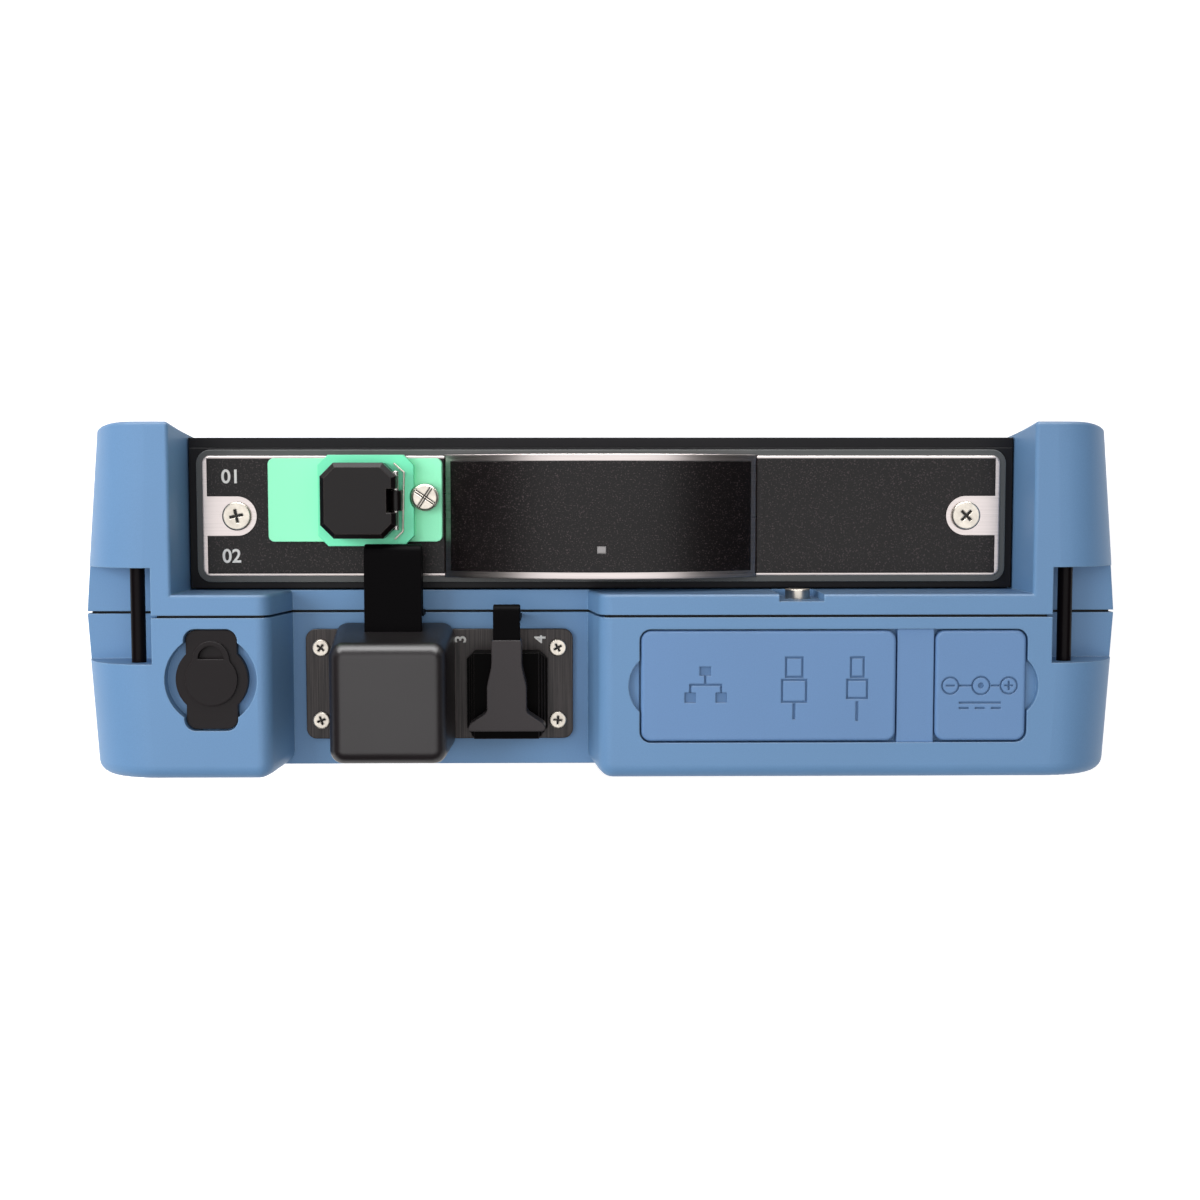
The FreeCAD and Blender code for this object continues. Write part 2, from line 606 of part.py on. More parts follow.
# display side: shallow seat of the bezel, window of the screen and holes of the keys
seat = new_sketch(front, "XZ", front_level - beyond)
rounded(seat, -bezel_half - play, s.bezel_low - play, bezel_half + play, bezel_high + play,
        s.bezel_radius + play)
pocket(front, seat, bezel_seat - front_level + beyond, 1)
window = new_sketch(front, "XZ", front_level)
rectangle(window, glass_x - screen_half_x, glass_z - screen_half_z,
          glass_x + screen_half_x, glass_z + screen_half_z)
for z in (home_z, power_z):
    rectangle(window, key_x - s.key_half_x + s.key_ledge, z - s.key_half_z + s.key_ledge,
              key_x + s.key_half_x - s.key_ledge, z + s.key_half_z - s.key_ledge)
pocket(front, window, s.front_wall + beyond, 1)
# posts that carry the key board
key_board_y = front_inside + s.key_stem_reach + s.key_travel + s.dome_gap + s.dome_height
posts = new_sketch(front, "XZ", front_inside)
for z in (power_z - s.key_post_step, (power_z + home_z) / 2, home_z + s.key_post_step):
    circle(posts, key_x, z, s.key_post)
pad(front, posts, key_board_y - front_inside)
# bosses that the housing screws bite into
bosses = new_sketch(front, "XZ", seal_low)
for x, z in SCREW_PLACES:
    circle(bosses, x, z, s.shell_boss)
pad(front, bosses, seal_low - front_inside, -1)
threads = new_sketch(front, "XZ", seal_low)
for x, z in SCREW_PLACES:
    circle(threads, x, z, s.shell_shank + s.hole_play)
pocket(front, threads, s.thread_depth)
node(front, "front_shell")

# ---------------------------------------------------------------- rear shell

rear = new_body("rear_shell")
plan = new_sketch(rear, "XY", 0)
polygon(plan, [(-half, seal_high), (half, seal_high), (back_half, s.back_reach), (-back_half, s.back_reach)])
pad(rear, plan, top)
dress(rear, "Fillet", s.corner_radius, lambda e: runs_along(e, "y"))
dress(rear, "Fillet", s.edge_round,
      lambda e: near(e.BoundBox.YMax, s.back_reach, 0.01) and near(e.BoundBox.YMin, s.back_reach, 0.01))
# the back stands lower between the corner pads
ease_level(rear, back_level, s.back_reach, s.pad_length, s.pad_flat, 1)
between = new_sketch(rear, "XY", -beyond)
rectangle(between, -bay_half, back_level, bay_half, s.back_reach + beyond)
pocket(rear, between, top + beyond * 2, 1)
# bay of the module, open to the back and at the top
bay = new_sketch(rear, "XY", top)
rectangle(bay, -bay_half, s.bay_floor, bay_half, s.back_reach + beyond)
pocket(rear, bay, top - s.bay_bottom)
recess_cut(rear, seal_high - beyond, s.bay_floor + beyond)
dress(rear, "Fillet", s.recess_round,
      lambda e: runs_along(e, "y") and near(middle(e).z, top, 0.01)
      and (near(middle(e).x, recess_left) or near(middle(e).x, recess_right)))
dress(rear, "Fillet", s.bay_edge,
      lambda e: near(middle(e).z, top, 0.01)
      and (runs_along(e, "y") and (near(middle(e).x, bay_half) or near(middle(e).x, -bay_half))
           or runs_along(e, "x") and near(middle(e).y, s.bay_floor)))
strap_notches(rear)
bar_seats(rear, seal_high, s.strap_back - seal_high + s.bar_seat, 1)
# hollow behind the parting, beside and below the bay
inner_back = back_level - s.back_wall
room = new_sketch(rear, "XZ", seal_high)
strap_x = corner_x - s.wall
strap_z = s.strap_depth + s.wall
side = back_half - s.wall
polygon(room, [(-side, strap_z), (-strap_x, strap_z), (-strap_x, s.wall), (strap_x, s.wall),
               (strap_x, strap_z), (side, strap_z), (side, top - strap_z),
               (bay_half + s.wall, top - strap_z), (bay_half + s.wall, s.bay_bottom - s.wall),
               (-bay_half - s.wall, s.bay_bottom - s.wall), (-bay_half - s.wall, top - strap_z),
               (-side, top - strap_z)])
pocket(rear, room, inner_back - seal_high, 1)
# notch in the ledge for the screw that holds the module
notch = new_sketch(rear, "XY", top)
rectangle(notch, hold_x - s.notch_left, s.bay_floor - s.notch_sink,
          hold_x + s.notch_right, s.bay_floor + beyond)
pocket(rear, notch, s.bay_depth)
hole = new_sketch(rear, "XZ", s.bay_floor + beyond)
circle(hole, hold_x, top - s.hold_drop, s.hold_shank)
pocket(rear, hole, s.bay_floor + beyond - seal_high + beyond, -1)
# battery opening in the back
opening = new_sketch(rear, "XZ", back_level + beyond)
rounded(opening, -s.door_half - play, s.door_low - play, s.door_half + play, s.door_high + play,
        s.door_round + play)
pocket(rear, opening, s.door_thick + play + beyond)
well = new_sketch(rear, "XZ", back_level + beyond)
battery_half = s.door_half - s.battery_margin
battery_low = s.door_low + s.battery_inset
battery_high = s.door_high - s.battery_inset
rectangle(well, -battery_half - play, battery_low - play, battery_half + play, battery_high + play)
pocket(rear, well, s.back_wall + beyond * 2)
# channel of the tilt stand
stand_floor = back_level - s.stand_thick - s.stand_play * 2
stand_play = s.stand_play
channel = new_sketch(rear, "XZ", back_level + beyond)
rectangle(channel, -s.stand_out - stand_play, s.stand_low - stand_play,
          s.stand_out + stand_play, s.stand_low + s.stand_bar + stand_play)
pocket(rear, channel, back_level + beyond - stand_floor)
legs = new_sketch(rear, "XZ", back_level + beyond)
for sign in (-1, 1):
    edges = sorted([sign * (s.stand_in - stand_play), sign * (s.stand_out + stand_play)],
                   key=lambda place: place.value)
    rectangle(legs, edges[0], s.stand_low, edges[1], s.stand_pivot + s.stand_thick / 2 + stand_play)
pocket(rear, legs, back_level + beyond - stand_floor)
pin_y = back_level - stand_play - s.stand_thick / 2
for sign in (-1, 1):
    start = -(s.stand_out + stand_play) if sign < 0 else s.stand_in - stand_play
    start = start - s.stand_seat
    pin_hole = new_sketch(rear, "YZ", start)
    circle(pin_hole, pin_y, s.stand_pivot, s.stand_pin)
    pocket(rear, pin_hole, s.stand_out - s.stand_in + stand_play * 2 + s.stand_seat * 2, 1)
# housing screws from the back
bosses = new_sketch(rear, "XZ", seal_high)
for x, z in SCREW_PLACES:
    circle(bosses, x, z, s.shell_boss)
pad(rear, bosses, inner_back - seal_high, 1)
screws_cut = new_sketch(rear, "XZ", back_level + beyond)
for x, z in SCREW_PLACES:
    circle(screws_cut, x, z, s.shell_screw + play)
pocket(rear, screws_cut, s.shell_screw_sink + beyond)
shanks_cut = new_sketch(rear, "XZ", back_level)
for x, z in SCREW_PLACES:
    circle(shanks_cut, x, z, s.shell_shank + s.hole_play)
pocket(rear, shanks_cut, back_level - seal_high + beyond)
# posts that carry the main board, reaching forward over the parting
posts = new_sketch(rear, "XZ", seal_high)
for x, z in POST_PLACES:
    circle(posts, x, z, s.post_radius)
pad(rear, posts, seal_high - board_back, -1)
threads = new_sketch(rear, "XZ", board_back)
for x, z in POST_PLACES:
    circle(threads, x, z, s.board_screw + s.hole_play)
pocket(rear, threads, s.board_thread, 1)
node(rear, "rear_shell")

# ---------------------------------------------------------------- seal and strap bars

seal = new_body("housing_seal")
ring = new_sketch(seal, "XZ", seal_low)
for inset in (s.seal_inset, s.seal_inset + s.seal_width):
    polygon(ring, cavity_outline(inset, top - inset, half - inset))
pad(seal, ring, s.seal_gap, 1)
node(seal, "housing_seal")

bars = []
for x in (-bar_x, bar_x):
    for z in (bar_z_low, bar_z_high):
        bars.append(rod("bar", s.bar_radius, s.strap_back - s.strap_front + s.bar_seat * 2,
                        x, s.strap_front - s.bar_seat, z, "y"))
node(group("strap_bars", *bars), "strap_bars")

# ---------------------------------------------------------------- display side

bezel = new_body("display_bezel")
face = new_sketch(bezel, "XZ", front_level)
rounded(face, -bezel_half, s.bezel_low, bezel_half, bezel_high, s.bezel_radius)
rounded(face, glass_x - glass_half_x - s.key_play, glass_z - glass_half_z - s.key_play,
        glass_x + glass_half_x + s.key_play, glass_z + glass_half_z + s.key_play,
        s.glass_radius + s.key_play)
for z in (home_z, power_z):
    rounded(face, key_x - s.key_half_x - s.key_play, z - s.key_half_z - s.key_play,
            key_x + s.key_half_x + s.key_play, z + s.key_half_z + s.key_play,
            s.glass_radius + s.key_play)
pad(bezel, face, s.bezel_thick, 1)
node(bezel, "display_bezel")

glass = new_body("touch_glass")
face = new_sketch(glass, "XZ", bezel_seat - s.glass_thick)
rounded(face, glass_x - glass_half_x, glass_z - glass_half_z,
        glass_x + glass_half_x, glass_z + glass_half_z, s.glass_radius)
pad(glass, face, s.glass_thick, 1)
node(glass, "touch_glass")

panel_x = screen_half_x + s.panel_margin
panel_z = screen_half_z + s.panel_margin
panel = block("lcd_panel", glass_x - panel_x, front_inside, glass_z - panel_z,
              glass_x + panel_x, front_inside + s.panel_thick, glass_z + panel_z)
node(panel, "lcd_panel")

for label, z in (("home_key", home_z), ("power_key", power_z)):
    key = new_body(label)
    face = new_sketch(key, "XZ", front_level)
    rounded(face, key_x - s.key_half_x, z - s.key_half_z, key_x + s.key_half_x, z + s.key_half_z,
            s.glass_radius)
    pad(key, face, s.key_cap, 1)
    stem = new_sketch(key, "XZ", front_level + s.key_cap)
    inset = s.key_ledge + s.key_play
    rectangle(stem, key_x - s.key_half_x + inset, z - s.key_half_z + inset,
              key_x + s.key_half_x - inset, z + s.key_half_z - inset)
    pad(key, stem, s.front_wall - s.key_cap + s.key_stem_reach, 1)
    dress(key, "Fillet", s.key_edge, lambda e: near(e.BoundBox.YMax, front_level, 0.01))
    node(key, label)

domes = [rod("dome", s.dome_radius, s.dome_height, key_x, key_board_y - s.dome_height, z, "y")
         for z in (home_z, power_z)]
node(group("key_domes", *domes), "key_domes")

keyboard = block("key_board", key_x - s.key_half_x, key_board_y, power_z - s.key_post_step - s.key_post,
                 key_x + s.key_half_x, key_board_y + s.key_board_thick,
                 home_z + s.key_post_step + s.key_post)
node(keyboard, "key_board")

# ---------------------------------------------------------------- boards and sockets

board = new_body("main_board")
plan = new_sketch(board, "XZ", board_front)
polygon(plan, [(-board_half, s.board_low), (board_right, s.board_low), (board_right, board_ports),
               (board_ports_left, board_ports), (board_ports_left, board_high),
               (-board_half, board_high)])
for x, z in POST_PLACES:
    circle(plan, x, z, s.board_screw + s.hole_play)
pad(board, plan, s.board_thick, 1)
node(board, "main_board")

screws = []
for x, z in POST_PLACES:
    head = rod("board_screw_head", s.board_head, s.board_head_thick, x,
               board_front - s.board_head_thick, z, "y")
    shank = rod("board_screw_shank", s.board_screw, s.board_thick + s.board_thread, x, board_front, z, "y")
    screws.append(fuse("board_screw", head, shank))
node(group("board_screws", *screws), "board_screws")


def socket(label, x, width, deep, open_width, open_deep, tongue_half, tongue_low, tongue_high):
    """Metal can in the front edge, soldered to the board and open at the top, with its contact tongue."""
    can_top = flap_seat - s.socket_play
    can_foot = top - s.socket_length
    low = flap_middle - deep / 2
    nose = block(label + "_nose", x - width / 2, low, can_foot, x + width / 2, low + deep, can_top)
    back = block(label + "_back", x - width / 2, low, can_foot, x + width / 2, board_front,
                 socket_face - s.socket_play)
    well = block(label + "_well", x - open_width / 2, flap_middle - open_deep / 2, can_foot + s.socket_back,
                 x + open_width / 2, flap_middle + open_deep / 2, can_top + beyond)
    chip = block(label + "_tongue", x - tongue_half, flap_middle + tongue_low,
                 can_foot + s.socket_back / 2, x + tongue_half, flap_middle + tongue_high,
                 can_top - s.socket_back)
    can = cut(label + "_shell", fuse(label + "_can", nose, back), well)
    return node(fuse(label, can, chip), label)


clear = s.socket_play * 2
socket("rj45_jack", lan_x, s.lan_width - clear, s.lan_deep - clear, s.lan_open_width, s.lan_open_deep,
       s.lan_open_width / 3, s.lan_open_deep / 2 - s.lan_contacts, s.lan_open_deep / 2 + s.socket_play)
socket("usb_jack", usb_x, s.usb_width - clear, s.usb_deep - clear, s.usb_open_width, s.usb_open_deep,
       s.usb_tongue / 2, s.socket_play - s.usb_open_deep / 2, s.usb_open_deep / 2 - s.socket_play)
socket("micro_usb_jack", micro_x, s.micro_width - clear, s.micro_deep - clear, s.micro_open_width,
       s.micro_open_deep, s.micro_tongue / 2, s.usb_tongue - s.micro_open_deep / 2,
       s.micro_open_deep / 2 - s.usb_tongue)

dc_foot = room_top
nose = rod("dc_nose", s.dc_radius - s.socket_play, flap_seat - clear - dc_foot, dc_x, flap_middle, dc_foot)
body_box = block("dc_body", dc_x - s.dc_radius, flap_middle - s.dc_radius, dc_foot,
                 dc_x + s.dc_radius, board_front, board_ports)
bore = rod("dc_bore", s.dc_bore, s.socket_length, dc_x, flap_middle, dc_foot + s.wall)
pin = rod("dc_pin", s.dc_pin, s.socket_length - s.wall * 2, dc_x, flap_middle, dc_foot + s.wall / 2)
node(fuse("dc_jack", cut("dc_shell", fuse("dc_outer", nose, body_box), bore), pin), "dc_jack")

# ---------------------------------------------------------------- flaps


def flap(label, left, right):
    """Rubber flap with a soft edge round its top."""
    made = new_body(label)
    plan = new_sketch(made, "XY", flap_bottom)
    rounded(plan, left, flap_low, right, flap_high, s.flap_radius)
    pad(made, plan, s.flap_thick)
    dress(made, "Fillet", s.flap_edge, lambda e: near(e.BoundBox.ZMin, top, 0.01))
    return node(made, label)


flap("ports_flap", ports_left, ports_right)
flap("dc_flap", dc_left, dc_right)
anchor = block("flap_anchor", ports_right + s.anchor_play, flap_low - s.flap_play, flap_seat,
               dc_left - s.anchor_play, flap_high + s.flap_play, top - s.anchor_sink)
node(anchor, "flap_anchor")

# ---------------------------------------------------------------- probe socket and plug

jack = new_body("probe_port")
plan = new_sketch(jack, "XY", room_top)
rounded(plan, probe_x - s.probe_half + play, probe_y - s.probe_long + s.probe_end + play,
        probe_x + s.probe_half - play, probe_y + s.probe_long - s.probe_end - play, s.probe_corner)
pad(jack, plan, probe_seat - play - room_top)
well = new_sketch(jack, "XY", probe_seat)
rim = s.probe_jack_wall + play
rounded(well, probe_x - s.probe_half + rim, probe_y - s.probe_long + s.probe_end + rim,
        probe_x + s.probe_half - rim, probe_y + s.probe_long - s.probe_end - rim,
        s.probe_corner - play * 2)
pocket(jack, well, s.probe_stem + s.probe_well)
node(jack, "probe_port")

plug = new_body("probe_plug")
plan = new_sketch(plug, "XY", probe_seat)
rounded(plan, probe_x - s.probe_half, probe_y - s.probe_long, probe_x + s.probe_half,
        probe_y + s.probe_long, s.probe_lobe)
pad(plug, plan, s.probe_cap)
bulge = new_sketch(plug, "XY", probe_seat)
circle(bulge, probe_x, probe_y, s.probe_wide)
pad(plug, bulge, s.probe_cap)
# pull tab: a round drop with an arched end and an eye
tab_top = probe_seat + s.probe_cap + s.probe_tab_rise
arch_y = probe_y + s.probe_arch_up
disc = new_sketch(plug, "XY", probe_seat)
circle(disc, probe_x, probe_y, s.probe_tab)
pad(plug, disc, tab_top - probe_seat)
web = new_sketch(plug, "XY", probe_seat)
polygon(web, [(probe_x - s.probe_tab, probe_y), (probe_x + s.probe_tab, probe_y),
              (probe_x + s.probe_arch, arch_y), (probe_x - s.probe_arch, arch_y)])
pad(plug, web, tab_top - probe_seat)
arch = new_sketch(plug, "XY", probe_seat)
circle(arch, probe_x, arch_y, s.probe_arch)
pad(plug, arch, tab_top - probe_seat)
eye = new_sketch(plug, "XY", tab_top)
half_moon(eye, probe_x, probe_y + s.probe_eye_up, s.probe_eye)
pocket(plug, eye, tab_top - probe_seat - s.probe_eye_floor)
stem = new_sketch(plug, "XY", probe_seat)
rim = s.probe_jack_wall + play * 2
rounded(stem, probe_x - s.probe_half + rim, probe_y - s.probe_long + s.probe_end + rim,
        probe_x + s.probe_half - rim, probe_y + s.probe_long - s.probe_end - rim,
        s.probe_corner - play * 3)
pad(plug, stem, s.probe_stem, -1)
node(plug, "probe_plug")

# ---------------------------------------------------------------- tester recess

plate = new_body("tester_plate")
plan = new_sketch(plate, "XY", recess_floor)
rounded(plan, tester_left, tester_low, tester_right, tester_high, s.tester_radius)
pad(plate, plan, s.tester_thick)
node(plate, "tester_plate")


def cross_head(label, screw, head_top, x, y, reach, half_slot, deep):
    """Cut a cross recess into the top of a screw that stands along Z."""
    bottom = head_top - deep
    over = head_top + deep
    slots = [block("slot", x - reach, y - half_slot, bottom, x + reach, y + half_slot, over),
             block("slot", x - half_slot, y - reach, bottom, x + half_slot, y + reach, over)]
    return cut(label, screw, *slots)


heads = []
for x in (tester_left + s.tester_screw_x, tester_right - s.tester_screw_x):
    for y in (tester_low + s.tester_screw_y, tester_high - s.tester_screw_y):
        head = rod("screw_head", s.tester_screw_head, s.tester_head_rise, x, y, tester_top)
        heads.append(cross_head("tester_screw", head, tester_top + s.tester_head_rise, x, y,
                                s.tester_slot_reach, s.tester_slot, s.tester_head_rise / 2))
node(group("tester_screws", *heads), "tester_screws")

flange = rod("meter_flange", s.meter_flange, s.meter_flange_thick, meter_x, meter_y, tester_top)
barrel = rod("meter_barrel", s.meter_nose, s.meter_length, meter_x, meter_y, tester_top)
bore = rod("meter_bore", s.meter_bore, s.meter_length, meter_x, meter_y, tester_top + s.meter_flange_thick)
node(cut("meter_port", fuse("meter_outer", flange, barrel), bore), "meter_port")


def strap_loop(body, start, upper, fold, loop, drop, left, right):
    """Flat strap of a cover: back from its side, folded under itself, then down to the recess floor."""
    thick = s.strap_thick
    lower = upper - loop
    foot = recess_floor + s.cover_gap
    view = new_sketch(body, "YZ", left)
    polygon(view, [(start, upper - thick), (fold - thick, upper - thick), (fold - thick, lower + thick),
                   (drop, lower + thick), (drop, foot), (drop + thick, foot), (drop + thick, lower),
                   (fold, lower), (fold, upper), (start, upper)])
    pad(body, view, right - left)
    outer = [(fold, lower), (fold, upper)]
    dress(body, "Fillet", thick * 1.2, lambda e: runs_along(e, "x") and any(
        near(middle(e).y, y) and near(middle(e).z, z) for y, z in outer))


# rubber cover over the power meter port, drafted towards its foot
cover_foot = tester_top + s.cover_gap
cover_left = meter_x - s.cover_left
cover_right = meter_x + s.cover_right
cover_low = meter_y - s.cover_front
cover_high = meter_y + s.cover_rear
cover_top = top + s.cover_rise
cover = new_body("meter_cover")
grow = s.cover_draft
foot_left = cover_left - grow / 2
foot_right = cover_right + grow / 8
profile = new_sketch(cover, "YZ", foot_left)
polygon(profile, [(cover_low, cover_foot), (cover_high + grow, cover_foot),
                  (cover_high, cover_top - s.cover_bevel), (cover_high - s.cover_bevel, cover_top),
                  (cover_low, cover_top)])
pad(cover, profile, foot_right - foot_left)
slants = new_sketch(cover, "XZ", beyond)
for foot_x, top_x, out in ((foot_left, cover_left, -beyond), (foot_right, cover_right, beyond)):
    polygon(slants, [(foot_x, cover_foot), (top_x, cover_top), (top_x, cover_top + beyond),
                     (foot_x + out, cover_top + beyond), (foot_x + out, cover_foot)])
pocket(cover, slants, beyond * 2 - cover_low)
dress(cover, "Fillet", s.cover_round, lambda e: e.BoundBox.ZLength > (cover_top - cover_foot).value / 2)
dress(cover, "Fillet", s.cover_edge, lambda e: near(e.BoundBox.ZMin, cover_top, 0.01))
hollow = new_sketch(cover, "XY", cover_foot)
circle(hollow, meter_x, meter_y, s.meter_flange + s.cover_gap)
pocket(cover, hollow, s.meter_length + s.cover_gap * 2, 1)
strap_loop(cover, cover_high - s.strap_grip, top - s.strap_under, s.bay_floor + s.strap_fold_in,
           s.strap_loop, cover_high + s.strap_drop_in,
           meter_x - s.strap_out_left, meter_x + s.strap_out_right)
node(cover, "meter_cover")

# visual fault locator port: ribbed block with a ferrule socket, its cover and strap
vfl = new_body("vfl_port")
section = new_sketch(vfl, "XZ", vfl_low)
step = s.vfl_rise / 4
right_side = [(s.vfl_half, tester_top), (s.vfl_half, tester_top + step),
              (s.vfl_half - s.vfl_rib, tester_top + step), (s.vfl_half - s.vfl_rib, tester_top + step * 2),
              (s.vfl_half - s.vfl_rib * 2, tester_top + step * 2),
              (s.vfl_half - s.vfl_rib * 2, tester_top + step * 3),
              (s.vfl_half - s.vfl_rib * 3, tester_top + step * 3),
              (s.vfl_half - s.vfl_rib * 3, tester_top + s.vfl_rise)]
polygon(section, [(vfl_x + x, z) for x, z in right_side]
        + [(vfl_x - x, z) for x, z in reversed(right_side)])
pad(vfl, section, s.vfl_deep)
dress(vfl, "Chamfer", s.vfl_chamfer,
      lambda e: runs_along(e, "z") and middle(e).z < (tester_top + step).value)
vfl_y = (vfl_low + vfl_high) / 2
neck = new_sketch(vfl, "XY", tester_top)
circle(neck, vfl_x, vfl_y, s.vfl_neck)
pad(vfl, neck, s.vfl_length)
bore = new_sketch(vfl, "XY", tester_top + s.vfl_length)
circle(bore, vfl_x, vfl_y, s.vfl_bore)
pocket(vfl, bore, s.vfl_length - s.tester_thick)
node(vfl, "vfl_port")

tongue_top = top - s.tongue_under
tongue_low = vfl_low + s.tongue_front
tongue_high = vfl_high + s.tongue_over
belly_low = vfl_low + s.tongue_belly_low
belly_high = vfl_low + s.tongue_belly_high
waist_y = vfl_low + s.tongue_waist_in
tongue = new_body("vfl_cover")
tongue_foot = tester_top + s.vfl_rise + s.cover_gap
plan = new_sketch(tongue, "XY", tongue_foot)
right_side = [(s.tongue_flare, tongue_low), (s.tongue_flare, tongue_low + s.tongue_thick),
              (s.tongue_half, belly_low), (s.tongue_half, belly_high),
              (s.tongue_waist, waist_y), (s.tongue_waist, tongue_high)]
tongue_x = vfl_x + s.tongue_aside
polygon(plan, [(tongue_x + x, y) for x, y in right_side]
        + [(tongue_x - x, y) for x, y in reversed(right_side)])
pad(tongue, plan, tongue_top - tongue_foot)
hollow = new_sketch(tongue, "XY", tongue_foot)
circle(hollow, vfl_x, vfl_y, s.vfl_neck + s.cover_gap)
pocket(tongue, hollow, s.vfl_length - s.vfl_rise, 1)
strap_loop(tongue, tongue_high - s.strap_grip, tongue_top, s.bay_floor - s.tongue_fold_in,
           s.tongue_loop, tongue_high + s.tongue_drop_in,
           tongue_x - s.tongue_strap_half, tongue_x + s.tongue_strap_half)
node(tongue, "vfl_cover")

# ---------------------------------------------------------------- module

module_half = bay_half - s.module_play
module_low = s.bay_bottom + s.module_play
module_front = s.bay_floor + s.module_play
lid_front = back_level - s.cover_thick
module_board_y = module_front + s.module_wall + s.board_stand

case = new_body("module_case")
plan = new_sketch(case, "XY", module_low)
rectangle(plan, -module_half, module_front, module_half, lid_front)
pad(case, plan, bay_face - module_low)
room = new_sketch(case, "XZ", lid_front)
rectangle(room, -module_half + s.module_wall, module_low + s.module_wall, module_half - s.module_wall,
          bay_face - s.face_thick)
pocket(case, room, lid_front - module_front - s.module_wall, -1)
holes = new_sketch(case, "XY", bay_face)
circle(holes, adapter_x, adapter_y, s.adapter_radius + s.hole_play)
circle(holes, thumb_x, thumb_y, s.thumb_shank + s.hole_play)
for x in (-ear_x, ear_x):
    circle(holes, x, face_middle, s.screw_shank + s.hole_play)
pocket(case, holes, s.screw_length)
node(case, "module_case")

lid = new_body("module_cover")
plan = new_sketch(lid, "XZ", lid_front)
rectangle(plan, -module_half, module_low, module_half, bay_face)
pad(lid, plan, s.cover_thick, 1)
node(lid, "module_cover")

carrier = block("module_board", -module_half + s.module_wall * 2, module_board_y,
                module_low + s.module_wall * 2, module_half - s.module_wall * 2,
                module_board_y + s.board_thick, bay_face - s.face_thick * 3)
seats = []
for x in (-post_x, post_x):
    for z in (module_low + s.post_inset * 2, bay_face - s.post_inset * 3):
        seats.append(rod("module_post", s.post_radius, module_board_y - module_front - s.module_wall,
                         x, module_front + s.module_wall, z, "y"))
node(group("module_posts", *seats), "module_posts")
node(carrier, "module_board")
laser = block("laser_block", adapter_x - s.laser_wide / 2, module_board_y + s.board_thick,
              bay_face - s.face_thick * 4 - s.laser_long, adapter_x + s.laser_wide / 2,
              module_board_y + s.board_thick + s.laser_high, bay_face - s.face_thick * 4)
node(laser, "laser_block")

# faceplate, its gasket and its printed overlays
plate_x = gasket_x - s.gasket_width
plate_low = gasket_low + s.gasket_width
plate_high = gasket_high - s.gasket_width
gasket = new_body("faceplate_gasket")
plan = new_sketch(gasket, "XY", bay_face)
rounded(plan, -gasket_x, gasket_low, gasket_x, gasket_high, s.gasket_radius)
rounded(plan, -plate_x, plate_low, plate_x, plate_high, s.gasket_radius - s.gasket_width)
pad(gasket, plan, s.gasket_thick)
node(gasket, "faceplate_gasket")

face_top = bay_face + s.plate_thick
face = new_body("faceplate")
plan = new_sketch(face, "XY", bay_face)
rounded(plan, -plate_x, plate_low, plate_x, plate_high, s.gasket_radius - s.gasket_width)
circle(plan, adapter_x, adapter_y, s.adapter_radius + s.hole_play)
circle(plan, thumb_x, thumb_y, s.thumb_shank + s.hole_play)
for x in (-ear_x, ear_x):
    circle(plan, x, face_middle, s.screw_shank + s.hole_play)
pad(face, plan, s.plate_thick)
node(face, "faceplate")

overlay_low = plate_low + s.overlay_inset / 2
overlay_high = plate_high - s.overlay_inset / 2
overlay_x = plate_x - s.overlay_inset
for label, sign, inner_x in (("left_overlay", -1, hump_left), ("right_overlay", 1, hump_right)):
    sheet_body = new_body(label)
    plan = new_sketch(sheet_body, "XY", face_top)
    edges = (-overlay_x, inner_x) if sign < 0 else (inner_x, overlay_x)
    rectangle(plan, edges[0], overlay_low, edges[1], overlay_high)
    pad(sheet_body, plan, s.overlay_thick)
    ear = new_sketch(sheet_body, "XY", face_top)
    circle(ear, sign * ear_x, face_middle, s.ear_radius)
    pocket(sheet_body, ear, s.overlay_thick * 4, 1)
    ear = new_sketch(sheet_body, "XY", face_top)
    edges = (-overlay_x - beyond, -ear_x) if sign < 0 else (ear_x, overlay_x + beyond)
    rectangle(ear, edges[0], face_middle - s.ear_radius, edges[1], face_middle + s.ear_radius)
    pocket(sheet_body, ear, s.overlay_thick * 4, 1)
    if sign < 0:
        holes = new_sketch(sheet_body, "XY", face_top)
        circle(holes, adapter_x, adapter_y, s.adapter_radius + s.hole_play)
        circle(holes, thumb_x, thumb_y, s.thumb_shank + s.hole_play)
        pocket(sheet_body, holes, s.overlay_thick * 4, 1)
    node(sheet_body, label)

# raised middle panel: part of a large cylinder that lies along Y
hump_span = hump_right - hump_left
hump_middle = (hump_left + hump_right) / 2
hump_curve = (hump_span * hump_span / 4 + s.hump_rise * s.hump_rise) / (s.hump_rise * 2)
hump_axis = face_top + s.hump_rise - hump_curve


def hump_drum(radius):
    return rod("drum", radius, hump_high - hump_low + beyond * 2, hump_middle, hump_low - beyond,
               hump_axis, "y")


def common(label, first, second):
    made = doc.addObject("Part::MultiCommon", label)
    made.Shapes = [first, second]
    return made


light = block("light_place", hump_middle - s.light_width / 2, light_y - s.light_height / 2,
              face_top + s.hump_rise - s.hump_wall, hump_middle + s.light_width / 2,
              light_y + s.light_height / 2, face_top + s.hump_rise + s.overlay_thick)
space = block("hump_space", hump_left, hump_low, face_top, hump_right, hump_high,
              face_top + s.hump_rise + beyond)
inner_space = block("hump_inner", hump_left + s.hump_wall, hump_low + s.hump_wall,
                    face_top - beyond, hump_right - s.hump_wall, hump_high - s.hump_wall,
                    face_top + s.hump_rise + beyond)
solid = common("hump_solid", hump_drum(hump_curve), space)
hollow = common("hump_hollow", hump_drum(hump_curve - s.hump_wall), inner_space)
node(cut("hump_panel", solid, hollow, light), "hump_panel")

